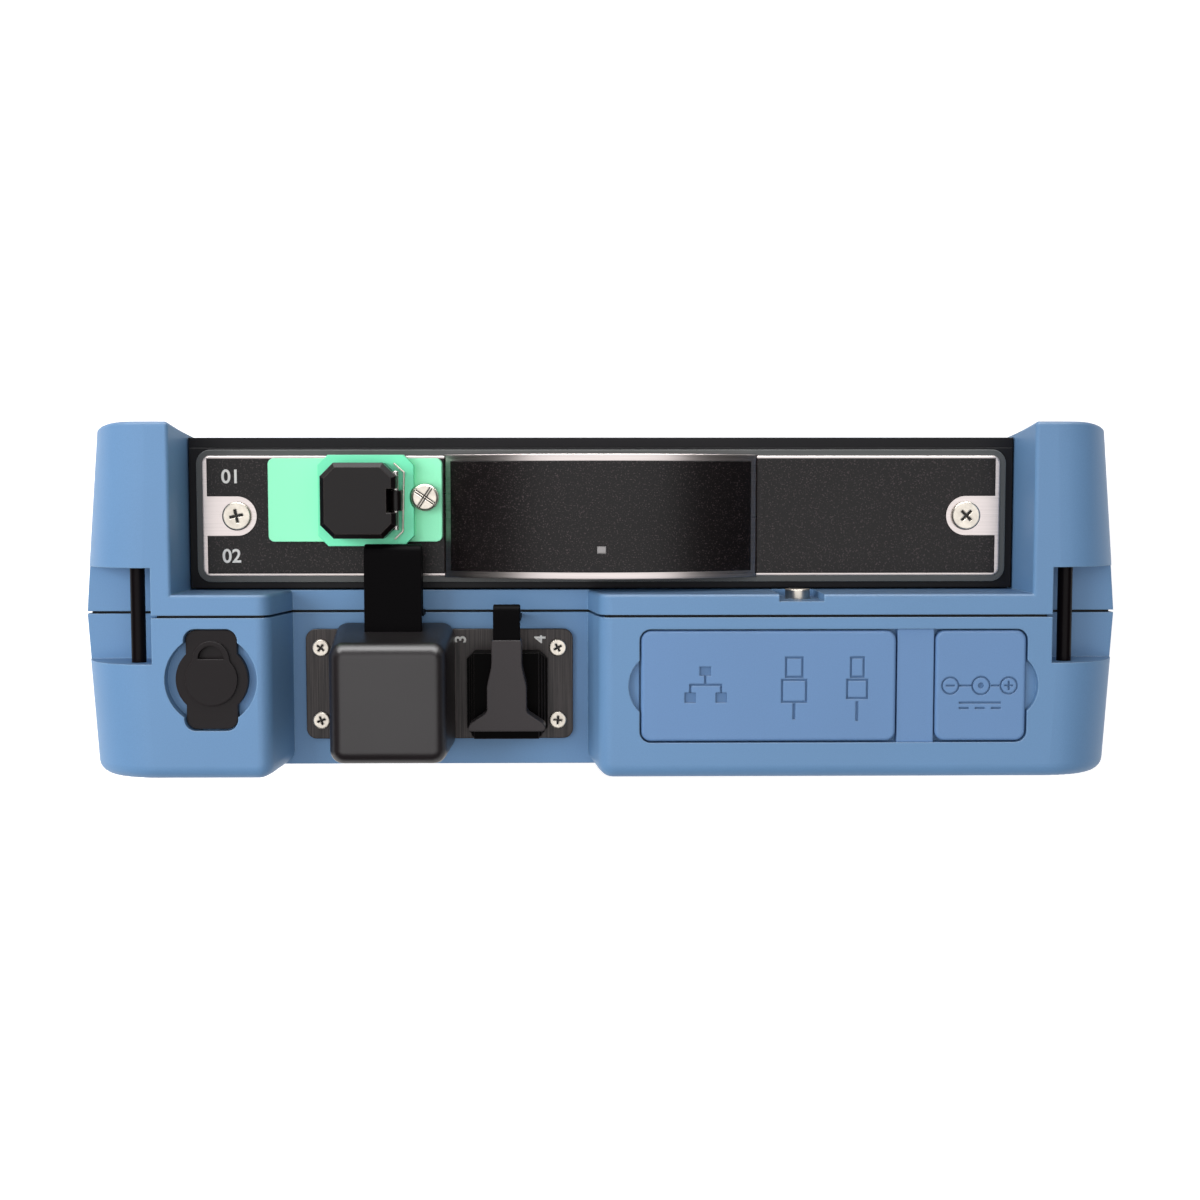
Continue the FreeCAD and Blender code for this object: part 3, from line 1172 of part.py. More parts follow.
skin_space = block("skin_space", hump_left + s.hump_rim, hump_low + s.hump_rim, face_top + s.hump_skin_low,
                   hump_right - s.hump_rim, hump_high - s.hump_rim, face_top + s.hump_rise + beyond)
skin = common("hump_skin", hump_drum(hump_curve + s.overlay_thick), skin_space)
node(cut("hump_overlay", skin, hump_drum(hump_curve), light), "hump_overlay")
window = block("status_light", hump_middle - s.light_width / 2, light_y - s.light_height / 2,
               face_top + s.hump_rise - s.hump_wall, hump_middle + s.light_width / 2,
               light_y + s.light_height / 2, face_top + s.hump_rise + s.overlay_thick / 2)
node(window, "status_light")

screws = []
for x in (-ear_x, ear_x):
    head = rod("ear_screw_head", s.screw_head, s.screw_rise, x, face_middle, face_top)
    shank = rod("ear_screw_shank", s.screw_shank, s.screw_length, x, face_middle,
                face_top - s.screw_length)
    screws.append(cross_head("module_screw", fuse("ear_screw", head, shank), face_top + s.screw_rise, x,
                             face_middle, s.screw_head / 2, s.screw_slot, s.screw_rise / 2))
node(group("module_screws", *screws), "module_screws")

# ---------------------------------------------------------------- green connector block

base_bottom = face_top + s.overlay_thick
base_top = base_bottom + s.base_thick
boss_top = base_top + s.boss_rise
base = new_body("connector_base")
plan = new_sketch(base, "XY", base_bottom)
rounded(plan, base_left, base_low, base_right, base_high, s.base_round)
circle(plan, adapter_x, adapter_y, s.adapter_radius + s.hole_play)
circle(plan, thumb_x, thumb_y, s.thumb_shank + s.hole_play)
pad(base, plan, s.base_thick)
node(base, "connector_base")


def clipped(sketch, left, low, right, high, clip):
    """Rectangle with its four corners cut off."""
    polygon(sketch, [(left + clip, low), (right - clip, low), (right, low + clip), (right, high - clip),
                     (right - clip, high), (left + clip, high), (left, high - clip), (left, low + clip)])


boss = new_body("connector_boss")
plan = new_sketch(boss, "XY", base_top)
clipped(plan, boss_left, adapter_y - s.boss_half, boss_right, adapter_y + s.boss_half, s.boss_chamfer)
circle(plan, adapter_x, adapter_y, s.adapter_radius + s.hole_play)
pad(boss, plan, s.boss_rise)
relief = new_sketch(boss, "XY", base_top)
circle(relief, thumb_x, thumb_y, s.thumb_radius + play)
pocket(boss, relief, s.boss_rise * 2, 1)
cap_bottom = boss_top + s.cap_gap
hinge_x = cap_right - s.hinge_in
hinge_z = cap_bottom + s.hinge_rise
node(boss, "connector_boss")

bracket_low = adapter_y - s.bracket_half
bracket_high = adapter_y + s.bracket_half
pin_low = adapter_y - s.pin_half
knuckle_low = bracket_low + s.bracket_play
knuckle_long = (s.bracket_half - s.bracket_play) * 2
ear = block("ear_block", hinge_x - s.knuckle_radius, knuckle_low, boss_top, hinge_x + s.knuckle_radius,
            knuckle_low + knuckle_long, hinge_z)
ear_round = rod("ear_round", s.knuckle_radius, knuckle_long, hinge_x, knuckle_low, hinge_z, "y")
ear_hole = rod("ear_hole", s.hinge_radius + s.hinge_play, knuckle_long, hinge_x, knuckle_low, hinge_z, "y")
node(cut("hinge_bracket", fuse("ear_whole", ear, ear_round), ear_hole), "hinge_bracket")

cap = new_body("port_cap")
plan = new_sketch(cap, "XY", cap_bottom)
clipped(plan, cap_left, adapter_y - s.cap_half, cap_right, adapter_y + s.cap_half, s.cap_chamfer)
pad(cap, plan, s.cap_thick)
cap_top = cap_bottom + s.cap_thick
dress(cap, "Chamfer", s.cap_bevel, lambda e: near(e.BoundBox.ZMin, cap_top, 0.01))
well = new_sketch(cap, "XY", cap_bottom)
circle(well, adapter_x, adapter_y, s.cap_well)
pocket(cap, well, s.cap_well_depth, 1)
slot = new_sketch(cap, "XY", cap_bottom)
rectangle(slot, hinge_x - s.knuckle_radius - s.bracket_play, bracket_low, cap_right + beyond, bracket_high)
pocket(cap, slot, s.cap_thick + beyond, 1)
bore = new_sketch(cap, "XZ", pin_low)
circle(bore, hinge_x, hinge_z, s.hinge_radius)
pocket(cap, bore, s.pin_half * 2, 1)
node(cap, "port_cap")
node(rod("cap_hinge_pin", s.hinge_radius, s.pin_half * 2, hinge_x, pin_low, hinge_z, "y"),
     "cap_hinge_pin")

sleeve = rod("sleeve", s.adapter_radius, boss_top + s.adapter_proud - bay_face + s.adapter_sink,
             adapter_x, adapter_y, bay_face - s.adapter_sink)
ferrule = rod("ferrule_bore", s.adapter_bore, s.adapter_sink, adapter_x, adapter_y,
              boss_top + s.adapter_proud - s.adapter_sink)
node(cut("fibre_adapter", sleeve, ferrule), "fibre_adapter")

head_low = base_top + s.cap_gap
knob = rod("thumb_knob", s.thumb_radius, s.thumb_head, thumb_x, thumb_y, head_low)
shank = rod("thumb_shank", s.thumb_shank, s.thumb_length, thumb_x, thumb_y, head_low - s.thumb_length)
node(cross_head("thumbscrew", fuse("thumb_whole", knob, shank), head_low + s.thumb_head, thumb_x, thumb_y,
                s.thumb_radius, s.screw_slot, s.thumb_slot), "thumbscrew")

ledge_seat = s.bay_floor - s.notch_sink
head = rod("hold_head", s.hold_head, s.hold_head_thick, hold_x, ledge_seat, top - s.hold_drop, "y")
shank = rod("hold_shank", s.hold_shank, s.hold_length, hold_x, ledge_seat - s.hold_length,
            top - s.hold_drop, "y")
node(fuse("hold_screw", head, shank), "hold_screw")

# ---------------------------------------------------------------- battery, stand and housing screws

door_back = back_level
door = new_body("battery_door")
plan = new_sketch(door, "XZ", door_back)
rounded(plan, -s.door_half, s.door_low, s.door_half, s.door_high, s.door_round)
pad(door, plan, s.door_thick, -1)
node(door, "battery_door")
battery_back = back_level - s.door_thick - play
battery = new_body("battery_pack")
plan = new_sketch(battery, "XZ", battery_back)
rounded(plan, -battery_half, battery_low, battery_half, battery_high, s.door_round)
pad(battery, plan, s.battery_deep, -1)
node(battery, "battery_pack")

stand_front = back_level - stand_play - s.stand_thick
stand = new_body("tilt_stand")
plan = new_sketch(stand, "XZ", stand_front)
bar_top = s.stand_low + s.stand_bar
polygon(plan, [(-s.stand_out, s.stand_low), (s.stand_out, s.stand_low), (s.stand_out, s.stand_pivot),
               (s.stand_in, s.stand_pivot), (s.stand_in, bar_top), (-s.stand_in, bar_top),
               (-s.stand_in, s.stand_pivot), (-s.stand_out, s.stand_pivot)])
pad(stand, plan, s.stand_thick, 1)
for start in (-s.stand_out, s.stand_in):
    knuckle = new_sketch(stand, "YZ", start)
    circle(knuckle, pin_y, s.stand_pivot, s.stand_thick / 2)
    pad(stand, knuckle, s.stand_out - s.stand_in)
bore = new_sketch(stand, "YZ", -s.stand_out)
circle(bore, pin_y, s.stand_pivot, s.stand_pin + s.hinge_play)
pocket(stand, bore, s.stand_out * 2, 1)
node(stand, "tilt_stand")

pins = []
pin_length = s.stand_out - s.stand_in + stand_play * 2 + s.stand_seat * 2
for start in (-(s.stand_out + stand_play + s.stand_seat), s.stand_in - stand_play - s.stand_seat):
    pins.append(rod("stand_pin", s.stand_pin, pin_length, start, pin_y, s.stand_pivot, "x"))
node(group("stand_pins", *pins), "stand_pins")

screws = []
seat_y = back_level - s.shell_screw_sink
for x, z in SCREW_PLACES:
    head = rod("housing_head", s.shell_screw, s.shell_screw_head, x, seat_y, z, "y")
    shank = rod("housing_shank", s.shell_shank, seat_y - seal_low + s.thread_depth, x,
                seal_low - s.thread_depth, z, "y")
    screws.append(fuse("housing_screw", head, shank))
node(group("housing_screws", *screws), "housing_screws")

# ---------------------------------------------------------------- check and write

doc.recompute()
failed = [o.Label for o in doc.Objects if "Invalid" in o.State or "Error" in o.State]
if failed:
    raise SystemExit("failed objects: " + ", ".join(failed))
for made in NODES:
    if made.Shape.isNull() or not made.Shape.isValid():
        raise SystemExit("bad shape: " + made.Label)
os.makedirs("parts", exist_ok=True)
for made in NODES:
    made.Shape.exportStep("parts/%s.step" % made.Label)
print(len(NODES), "sub-parts written")
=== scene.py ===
"""Looks of a handheld optical time domain reflectometer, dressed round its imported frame."""
import math

import bmesh
import bpy
from mathutils import Matrix, Vector


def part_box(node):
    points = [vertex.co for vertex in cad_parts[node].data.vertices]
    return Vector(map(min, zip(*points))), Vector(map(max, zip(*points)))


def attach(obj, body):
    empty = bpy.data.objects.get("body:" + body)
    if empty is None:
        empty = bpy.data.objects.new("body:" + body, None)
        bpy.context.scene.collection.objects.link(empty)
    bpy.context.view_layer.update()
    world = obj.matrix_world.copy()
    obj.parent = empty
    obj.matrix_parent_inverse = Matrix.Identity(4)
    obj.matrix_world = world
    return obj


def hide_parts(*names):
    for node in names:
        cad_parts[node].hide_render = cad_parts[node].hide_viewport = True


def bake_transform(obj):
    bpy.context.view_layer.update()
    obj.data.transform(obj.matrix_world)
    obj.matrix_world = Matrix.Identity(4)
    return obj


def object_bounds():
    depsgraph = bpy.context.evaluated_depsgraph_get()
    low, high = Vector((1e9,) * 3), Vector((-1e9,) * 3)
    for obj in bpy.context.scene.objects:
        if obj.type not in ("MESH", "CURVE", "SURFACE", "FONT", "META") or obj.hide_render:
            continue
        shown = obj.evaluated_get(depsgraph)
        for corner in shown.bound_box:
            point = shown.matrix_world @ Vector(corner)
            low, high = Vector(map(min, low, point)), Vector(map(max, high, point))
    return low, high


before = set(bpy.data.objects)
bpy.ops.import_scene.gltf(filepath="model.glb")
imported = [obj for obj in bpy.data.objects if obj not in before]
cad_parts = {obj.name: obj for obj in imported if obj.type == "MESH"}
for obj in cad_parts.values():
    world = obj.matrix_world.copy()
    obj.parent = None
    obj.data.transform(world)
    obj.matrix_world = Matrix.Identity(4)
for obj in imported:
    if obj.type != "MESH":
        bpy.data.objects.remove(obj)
cad_low, cad_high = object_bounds()
MM = 0.001


# ---------------------------------------------------------------- colour and shader groups


def tint(red, green, blue):
    """Colour as it looks on a screen, 0 to 255, as the linear colour that a shader takes."""
    channels = []
    for level in (red, green, blue):
        share = level / 255
        channels.append(share / 12.92 if share <= 0.04045 else ((share + 0.055) / 1.055) ** 2.4)
    return (*channels, 1.0)


def add_node(tree, kind, **settings):
    """New shader node of one kind, with its settings."""
    made = tree.nodes.new("ShaderNode" + kind)
    for name, value in settings.items():
        setattr(made, name, value)
    return made


def shader_group(name, inputs, outputs):
    """New group with its named sockets, and its input and output nodes."""
    tree = bpy.data.node_groups.new(name, "ShaderNodeTree")
    for label, kind, value in inputs:
        socket = tree.interface.new_socket(label, in_out="INPUT", socket_type="NodeSocket" + kind)
        socket.default_value = value
    for label, kind in outputs:
        tree.interface.new_socket(label, in_out="OUTPUT", socket_type="NodeSocket" + kind)
    return tree, tree.nodes.new("NodeGroupInput"), tree.nodes.new("NodeGroupOutput")


def math_node(tree, operation, first, second):
    """Sum, product or the like of two sockets or plain numbers."""
    made = add_node(tree, "Math", operation=operation)
    for index, value in enumerate((first, second)):
        if isinstance(value, (int, float)):
            made.inputs[index].default_value = value
        else:
            tree.links.new(value, made.inputs[index])
    return made.outputs[0]


def mix_colour(tree, share, first, second):
    """Colour that goes from the first to the second as the share goes from 0 to 1."""
    made = add_node(tree, "Mix", data_type="RGBA")
    for socket, value in ((made.inputs[0], share), (made.inputs[6], first), (made.inputs[7], second)):
        if isinstance(value, bpy.types.NodeSocket):
            tree.links.new(value, socket)
        else:
            socket.default_value = value
    return made.outputs[2]


def stretch(tree, value, low, high):
    """Map a value from low..high to 0..1."""
    made = add_node(tree, "MapRange")
    tree.links.new(value, made.inputs["Value"])
    made.inputs["From Min"].default_value = low
    made.inputs["From Max"].default_value = high
    return made.outputs["Result"]


def noise(tree, where, scale, detail=2.0, roughness=0.5):
    """Cloudy pattern from 0 to 1, with its scale in waves a metre."""
    made = add_node(tree, "TexNoise")
    tree.links.new(where, made.inputs["Vector"])
    if isinstance(scale, (int, float)):
        made.inputs["Scale"].default_value = scale
    else:
        tree.links.new(scale, made.inputs["Scale"])
    made.inputs["Detail"].default_value = detail
    made.inputs["Roughness"].default_value = roughness
    return made.outputs["Fac"]


def build_moulded():
    """Fine spark-eroded grain of moulded plastic and rubber, with a slow drift of tone."""
    tree, entry, out = shader_group(
        "moulded_grain",
        [("Color", "Color", (0.5, 0.5, 0.5, 1)), ("Grain", "Float", 4000.0), ("Drift", "Float", 0.06),
         ("Rough", "Float", 0.5)],
        [("Color", "Color"), ("Roughness", "Float"), ("Height", "Float")])
    where = add_node(tree, "TexCoord").outputs["Object"]
    grain = noise(tree, where, entry.outputs["Grain"], detail=3.0, roughness=0.6)
    drift = noise(tree, where, scale=28.0, detail=3.0)
    swing = math_node(tree, "MULTIPLY", math_node(tree, "SUBTRACT", drift, 0.5), entry.outputs["Drift"])
    fleck = math_node(tree, "MULTIPLY", math_node(tree, "SUBTRACT", grain, 0.5), entry.outputs["Drift"])
    tone = math_node(tree, "MULTIPLY", math_node(tree, "ADD", swing, fleck), 2.0)
    gain = math_node(tree, "ADD", tone, 1.0)
    bright = add_node(tree, "VectorMath", operation="SCALE")
    tree.links.new(entry.outputs["Color"], bright.inputs[0])
    tree.links.new(gain, bright.inputs["Scale"])
    tree.links.new(bright.outputs[0], out.inputs["Color"])
    rough = math_node(tree, "ADD", entry.outputs["Rough"], math_node(tree, "MULTIPLY", swing, 1.5))
    tree.links.new(rough, out.inputs["Roughness"])
    tree.links.new(grain, out.inputs["Height"])
    return tree


def build_soft_edge():
    """Rounded look of an edge, and a mask of the edges that take a lighter colour: handling wear and
    painted highlight.
    """
    tree, entry, out = shader_group(
        "soft_edge", [("Reach", "Float", 0.4)], [("Normal", "Vector"), ("Edge", "Float")])
    reach = math_node(tree, "MULTIPLY", entry.outputs["Reach"], MM)
    bevel = add_node(tree, "Bevel", samples=4)
    tree.links.new(reach, bevel.inputs["Radius"])
    tree.links.new(bevel.outputs["Normal"], out.inputs["Normal"])
    geometry = add_node(tree, "NewGeometry")
    likeness = add_node(tree, "VectorMath", operation="DOT_PRODUCT")
    tree.links.new(bevel.outputs["Normal"], likeness.inputs[0])
    tree.links.new(geometry.outputs["Normal"], likeness.inputs[1])
    turned = math_node(tree, "SUBTRACT", 1.0, likeness.outputs["Value"])
    tree.links.new(stretch(tree, turned, 0.01, 0.25), out.inputs["Edge"])
    return tree


def build_brushed():
    """Brush lines: a pattern that changes fast along one axis and slowly along the others."""
    tree, entry, out = shader_group(
        "brushed_lines",
        [("Dark", "Color", (0.1, 0.1, 0.1, 1)), ("Light", "Color", (0.5, 0.5, 0.5, 1)),
         ("Lines", "Vector", (30.0, 2500.0, 30.0)), ("Rough", "Float", 0.3)],
        [("Color", "Color"), ("Roughness", "Float"), ("Height", "Float")])
    where = add_node(tree, "TexCoord").outputs["Object"]
    spread = add_node(tree, "VectorMath", operation="MULTIPLY")
    tree.links.new(where, spread.inputs[0])
    tree.links.new(entry.outputs["Lines"], spread.inputs[1])
    lines = noise(tree, spread.outputs[0], scale=1.0, detail=4.0, roughness=0.7)
    share = stretch(tree, lines, 0.3, 0.7)
    lit = mix_colour(tree, share, entry.outputs["Dark"], entry.outputs["Light"])
    tree.links.new(lit, out.inputs["Color"])
    rough = math_node(tree, "ADD", entry.outputs["Rough"], math_node(tree, "MULTIPLY", lines, 0.15))
    tree.links.new(rough, out.inputs["Roughness"])
    tree.links.new(lines, out.inputs["Height"])
    return tree


def build_speckle():
    """Black film with fine pale flecks."""
    tree, entry, out = shader_group(
        "speckled_film",
        [("Base", "Color", (0.01, 0.01, 0.01, 1)), ("Fleck", "Color", (0.3, 0.3, 0.3, 1)),
         ("Size", "Float", 3200.0), ("Share", "Float", 0.5)],
        [("Color", "Color"), ("Roughness", "Float"), ("Height", "Float")])
    where = add_node(tree, "TexCoord").outputs["Object"]
    cells = noise(tree, where, entry.outputs["Size"], detail=1.0)
    fleck = math_node(tree, "MULTIPLY", stretch(tree, cells, 0.58, 0.72), entry.outputs["Share"])
    spotted = mix_colour(tree, fleck, entry.outputs["Base"], entry.outputs["Fleck"])
    tree.links.new(spotted, out.inputs["Color"])
    haze = noise(tree, where, scale=40.0, detail=3.0)
    rough = math_node(tree, "ADD", math_node(tree, "MULTIPLY", haze, 0.12), 0.3)
    tree.links.new(rough, out.inputs["Roughness"])
    tree.links.new(cells, out.inputs["Height"])
    return tree


GROUPS = {"moulded": build_moulded(), "edge": build_soft_edge(), "brushed": build_brushed(),
          "speckle": build_speckle()}


# ---------------------------------------------------------------- shaping helpers, in millimetres

LEVEL_PLAY = 1e-3  # how far from a height still counts as at that height
MERGE_WITHIN = 1e-4  # corners this close are one corner
LAP = 0.1  # how far parts that are joined reach into each other
PAST = 1.0  # how far a cutter reaches past the face that it cuts


def span(node):
    """Lowest and highest corners of a CAD node."""
    low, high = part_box(node)
    return Vector(low) / MM, Vector(high) / MM


def centre(node):
    """Middle of a CAD node's box."""
    low, high = span(node)
    return (low + high) / 2


def add_object(name, data):
    """New object in the scene, from its mesh, curve, lamp or lens."""
    made = bpy.data.objects.new(name, data)
    bpy.context.scene.collection.objects.link(made)
    return made


def raise_faces(bm, faces, height):
    """Raise flat faces into a solid of a height."""
    grown = bmesh.ops.extrude_face_region(bm, geom=faces)["geom"]
    moved = [part for part in grown if isinstance(part, bmesh.types.BMVert)]
    bmesh.ops.translate(bm, vec=(0, 0, height), verts=moved)


def block(low, high):
    """Box between two corners."""
    low, high = Vector(low), Vector(high)
    bm = bmesh.new()
    bmesh.ops.create_cube(bm, size=1.0)
    bmesh.ops.scale(bm, vec=high - low, verts=bm.verts)
    bmesh.ops.translate(bm, vec=(low + high) / 2, verts=bm.verts)
    return bm


def slab(outline, low, high):
    """Flat piece raised from a few corner points of its plan."""
    bm = bmesh.new()
    plan = bm.faces.new([bm.verts.new((x, y, low)) for x, y in outline])
    raise_faces(bm, [plan], high - low)
    bmesh.ops.recalc_face_normals(bm, faces=bm.faces)
    return bm


def disc(x, y, radius, low, high, sides=48):
    """Round slab about an upright axis."""
    bm = bmesh.new()
    bmesh.ops.create_cone(bm, cap_ends=True, segments=sides, radius1=radius, radius2=radius,
                          depth=high - low)
    bmesh.ops.translate(bm, vec=(x, y, (low + high) / 2), verts=bm.verts)
    return bm


def standing(bm):
    """Edges that climb more than they run."""
    steep = 0.7
    return [edge for edge in bm.edges
            if abs(edge.verts[0].co.z - edge.verts[1].co.z) > edge.calc_length() * steep]


def rim(bm, level):
    """Edges that lie at one height."""
    return [edge for edge in bm.edges if all(abs(vert.co.z - level) < LEVEL_PLAY for vert in edge.verts)]


def soften(bm, edges, width, segments=4):
    """Round edges over."""
    bmesh.ops.bevel(bm, geom=list(edges), offset=width, affect="EDGES", segments=segments, profile=0.5,
                    material=-1, clamp_overlap=True)


def bare_mesh(name, bm):
    """Mesh of a bmesh as it is."""
    mesh = bpy.data.meshes.new(name)
    bm.to_mesh(mesh)
    bm.free()
    return mesh


def to_mesh(name, bm):
    """Mesh in metres with its faces turned outwards."""
    bmesh.ops.remove_doubles(bm, verts=bm.verts, dist=MERGE_WITHIN)
    bmesh.ops.recalc_face_normals(bm, faces=bm.faces)
    bmesh.ops.scale(bm, vec=(MM, MM, MM), verts=bm.verts)
    return bare_mesh(name, bm)


def place_mesh(name, mesh, material, body, sharp=40):
    """Object with its own finish, which rides on a body when one is given."""
    mesh.shade_smooth()
    mesh.set_sharp_from_angle(angle=math.radians(sharp))
    mesh.materials.clear()
    mesh.materials.append(material)
    made = add_object(name, mesh)
    even = made.modifiers.new("even_shading", "WEIGHTED_NORMAL")
    even.keep_sharp = True
    even.weight = 90
    if body:
        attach(made, body)
    return made


def paint_floor_shade(piece, material, level):
    """Give the flat floors at one height a darker colour of their own: painted shade in the hollows."""
    near = 0.02
    piece.data.materials.append(material)
    for face in piece.data.polygons:
        if abs(face.center.z / MM - level) < near:
            face.material_index = 1


def carve(name, solid, cutters):
    """Mesh of a solid after each cutter has been taken away from it."""
    holder = add_object(name + "_blank", to_mesh(name + "_blank", solid))
    tools = []
    for cutter in cutters:
        tool = add_object(name + "_tool", to_mesh(name + "_tool", cutter))
        away = holder.modifiers.new("away", "BOOLEAN")
        away.operation = "DIFFERENCE"
        away.solver = "EXACT"
        away.object = tool
        tools.append(tool)
    ready = holder.evaluated_get(bpy.context.evaluated_depsgraph_get())
    mesh = bpy.data.meshes.new_from_object(ready)
    mesh.name = name
    for spare in [holder, *tools]:
        shape = spare.data
        bpy.data.objects.remove(spare)
        bpy.data.meshes.remove(shape)
    return mesh


def ribbon(start, steps, width):
    """Flat strap: an edge across the strap, carried along straight runs and round bends in Y and Z."""
    bm = bmesh.new()
    x, y, z = start
    edge = bm.edges.new([bm.verts.new((x - width / 2, y, z)), bm.verts.new((x + width / 2, y, z))])
    for kind, *how in steps:
        if kind == "run":
            way, count = how
            for _ in range(count):
                grown = bmesh.ops.extrude_edge_only(bm, edges=[edge])["geom"]
                edge = [part for part in grown if isinstance(part, bmesh.types.BMEdge)][0]
                bmesh.ops.translate(bm, vec=Vector((0, *way)) / count, verts=edge.verts)
        else:
            about, angle, count = how
            turned = bmesh.ops.spin(bm, geom=[edge], cent=(0, *about), axis=(1, 0, 0),
                                    angle=math.radians(angle), steps=count)["geom_last"]
            edge = [part for part in turned if isinstance(part, bmesh.types.BMEdge)][0]
    return bm


def thicken(bm, thickness):
    """Give a ribbon its thickness and take the sharpness off its corners."""
    square_turn, edge_round = 1.2, 0.25
    bmesh.ops.recalc_face_normals(bm, faces=bm.faces)
    bmesh.ops.solidify(bm, geom=bm.faces[:], thickness=thickness)
    bmesh.ops.recalc_face_normals(bm, faces=bm.faces)
    corners = [edge for edge in bm.edges
               if len(edge.link_faces) == 2 and edge.calc_face_angle(0) > square_turn]
    soften(bm, corners, edge_round, 2)


# ---------------------------------------------------------------- materials

GRAIN_HEIGHT = 0.02 * MM  # of every bump pattern at full strength


def finish(name, group, values, metallic=0.0, bump=0.1, edge_reach=0.35, edge_colour=None, edge_share=0.3,
           specular=0.5):
    """Material from a surface group and the soft edge group, with the shader kept outside both."""
    made = bpy.data.materials.new(name)
    made.use_nodes = True
    tree = made.node_tree
    shader = tree.nodes["Principled BSDF"]
    shader.inputs["Metallic"].default_value = metallic
    shader.inputs["Specular IOR Level"].default_value = specular
    surface = add_node(tree, "Group", node_tree=GROUPS[group])
    for label, value in values.items():
        surface.inputs[label].default_value = value
    edge = add_node(tree, "Group", node_tree=GROUPS["edge"])
    edge.inputs["Reach"].default_value = edge_reach
    colour = surface.outputs["Color"]
    # Lighter edges: handling wear and a painted highlight along the rims.
    if edge_colour:
        worn_and_lit_share = math_node(tree, "MULTIPLY", edge.outputs["Edge"], edge_share)
        colour = mix_colour(tree, worn_and_lit_share, colour, edge_colour)
    tree.links.new(colour, shader.inputs["Base Color"])
    tree.links.new(surface.outputs["Roughness"], shader.inputs["Roughness"])
    lift = add_node(tree, "Bump")
    lift.inputs["Strength"].default_value = bump
    lift.inputs["Distance"].default_value = GRAIN_HEIGHT
    tree.links.new(surface.outputs["Height"], lift.inputs["Height"])
    tree.links.new(edge.outputs["Normal"], lift.inputs["Normal"])
    tree.links.new(lift.outputs["Normal"], shader.inputs["Normal"])
    return made


def moulded(name, colour, rough, drift=0.06, **rest):
    """Moulded plastic or rubber."""
    return finish(name, "moulded", {"Color": colour, "Drift": drift, "Rough": rough}, **rest)


def metal(name, dark, light, lines, rough, **rest):
    """Brushed, turned or plated metal, with the pace of its lines along X, Y and Z."""
    return finish(name, "brushed", {"Dark": dark, "Light": light, "Lines": lines, "Rough": rough}, **rest)


BLUE = moulded("blue_housing", tint(100, 140, 182), 0.5, drift=0.09, bump=0.25,
               edge_colour=tint(168, 204, 230), edge_share=0.45)
FLAP_BLUE = moulded("blue_rubber_flap", tint(101, 138, 184), 0.55, drift=0.09, bump=0.25,
                    edge_colour=tint(146, 182, 220))
# Darker blue for the floors of sunken signs: painted shade.
SIGN_SHADE = moulded("blue_sign_painted_shade", tint(84, 118, 160), 0.65)
RUBBER = moulded("black_rubber", tint(29, 24, 26), 0.36, drift=0.14, bump=0.3,
                 edge_colour=tint(104, 98, 98), edge_reach=0.6)
TONGUE = moulded("tongue_rubber", tint(40, 34, 36), 0.45, bump=0.3, edge_colour=tint(98, 92, 92),
                 specular=0.35)
STRAP = moulded("strap_rubber", tint(5, 4, 5), 0.45, bump=0.2, edge_colour=tint(52, 48, 50), specular=0.03)
PLUG_BLACK = moulded("black_plug", tint(20, 14, 16), 0.45, drift=0.1, bump=0.3,
                     edge_colour=tint(88, 82, 82), specular=0.22)
CAP_BLACK = moulded("black_cap", tint(14, 8, 9), 0.34, bump=0.12, edge_colour=tint(136, 126, 122),
                    edge_share=0.42, specular=0.2)
BLOCK_BLACK = moulded("black_block", tint(4, 3, 3), 0.3, bump=0.15, edge_colour=tint(96, 90, 90),
                      edge_share=0.5, edge_reach=0.25, specular=0.02)
CASE_BLACK = moulded("black_case", tint(20, 19, 22), 0.45, bump=0.3, specular=0.15)
DOOR_BLACK = moulded("black_door", tint(28, 28, 30), 0.5, specular=0.25)
SEAL = moulded("seal_rubber", tint(16, 16, 18), 0.7)
BAR = moulded("strap_bar", tint(14, 9, 11), 0.3, drift=0.03, bump=0.05, specular=0.06)
GREEN = moulded("green_plastic", tint(150, 252, 202), 0.4, drift=0.03, edge_colour=tint(190, 255, 225))
# Darker copy of the green plastic for the boss: painted shade on its sides.
BOSS_GREEN_SHADED = moulded("green_boss_shaded", tint(116, 242, 190), 0.35, drift=0.03, edge_colour=tint(140, 250, 206))
GASKET = moulded("grey_gasket", tint(70, 72, 72), 0.5, edge_colour=tint(160, 164, 162), edge_share=0.55)
BEZEL = moulded("display_bezel_black", tint(18, 18, 20), 0.3, bump=0.05)
KEY = moulded("key_rubber", tint(70, 74, 78), 0.6)
BOARD = moulded("circuit_board", tint(24, 84, 48), 0.45)
BATTERY = moulded("battery_wrap", tint(50, 52, 56), 0.55)
# Dark floor of cross recesses and cut lines: painted shade.
RECESS_SHADE = moulded("screw_recess_painted_shade", tint(38, 34, 30), 0.6)
PRINT = moulded("white_print", tint(236, 234, 230), 0.6)
LAMP_LENS = moulded("status_lens", tint(150, 146, 146), 0.4)
SILVER = metal("satin_silver", tint(172, 164, 162), tint(192, 183, 181), (40.0, 3000.0, 40.0), 0.22,
               metallic=1.0, bump=0.04)
SCREW = metal("plated_screw", tint(168, 161, 152), tint(202, 195, 184), (400.0, 400.0, 400.0), 0.24,
              metallic=1.0, bump=0.05)
PORT = metal("machined_port", tint(170, 168, 164), tint(205, 202, 198), (60.0, 60.0, 3000.0), 0.22,
             metallic=1.0, bump=0.1)
PLATE = metal("brushed_black_plate", tint(5, 4, 4), tint(74, 67, 66), (5200.0, 60.0, 60.0), 0.3,
              metallic=0.2, bump=0.3, specular=0.3)
FILM = finish("speckled_overlay", "speckle",
              {"Base": tint(12, 8, 9), "Fleck": tint(84, 72, 74), "Size": 3600.0}, bump=0.15, specular=0.22)


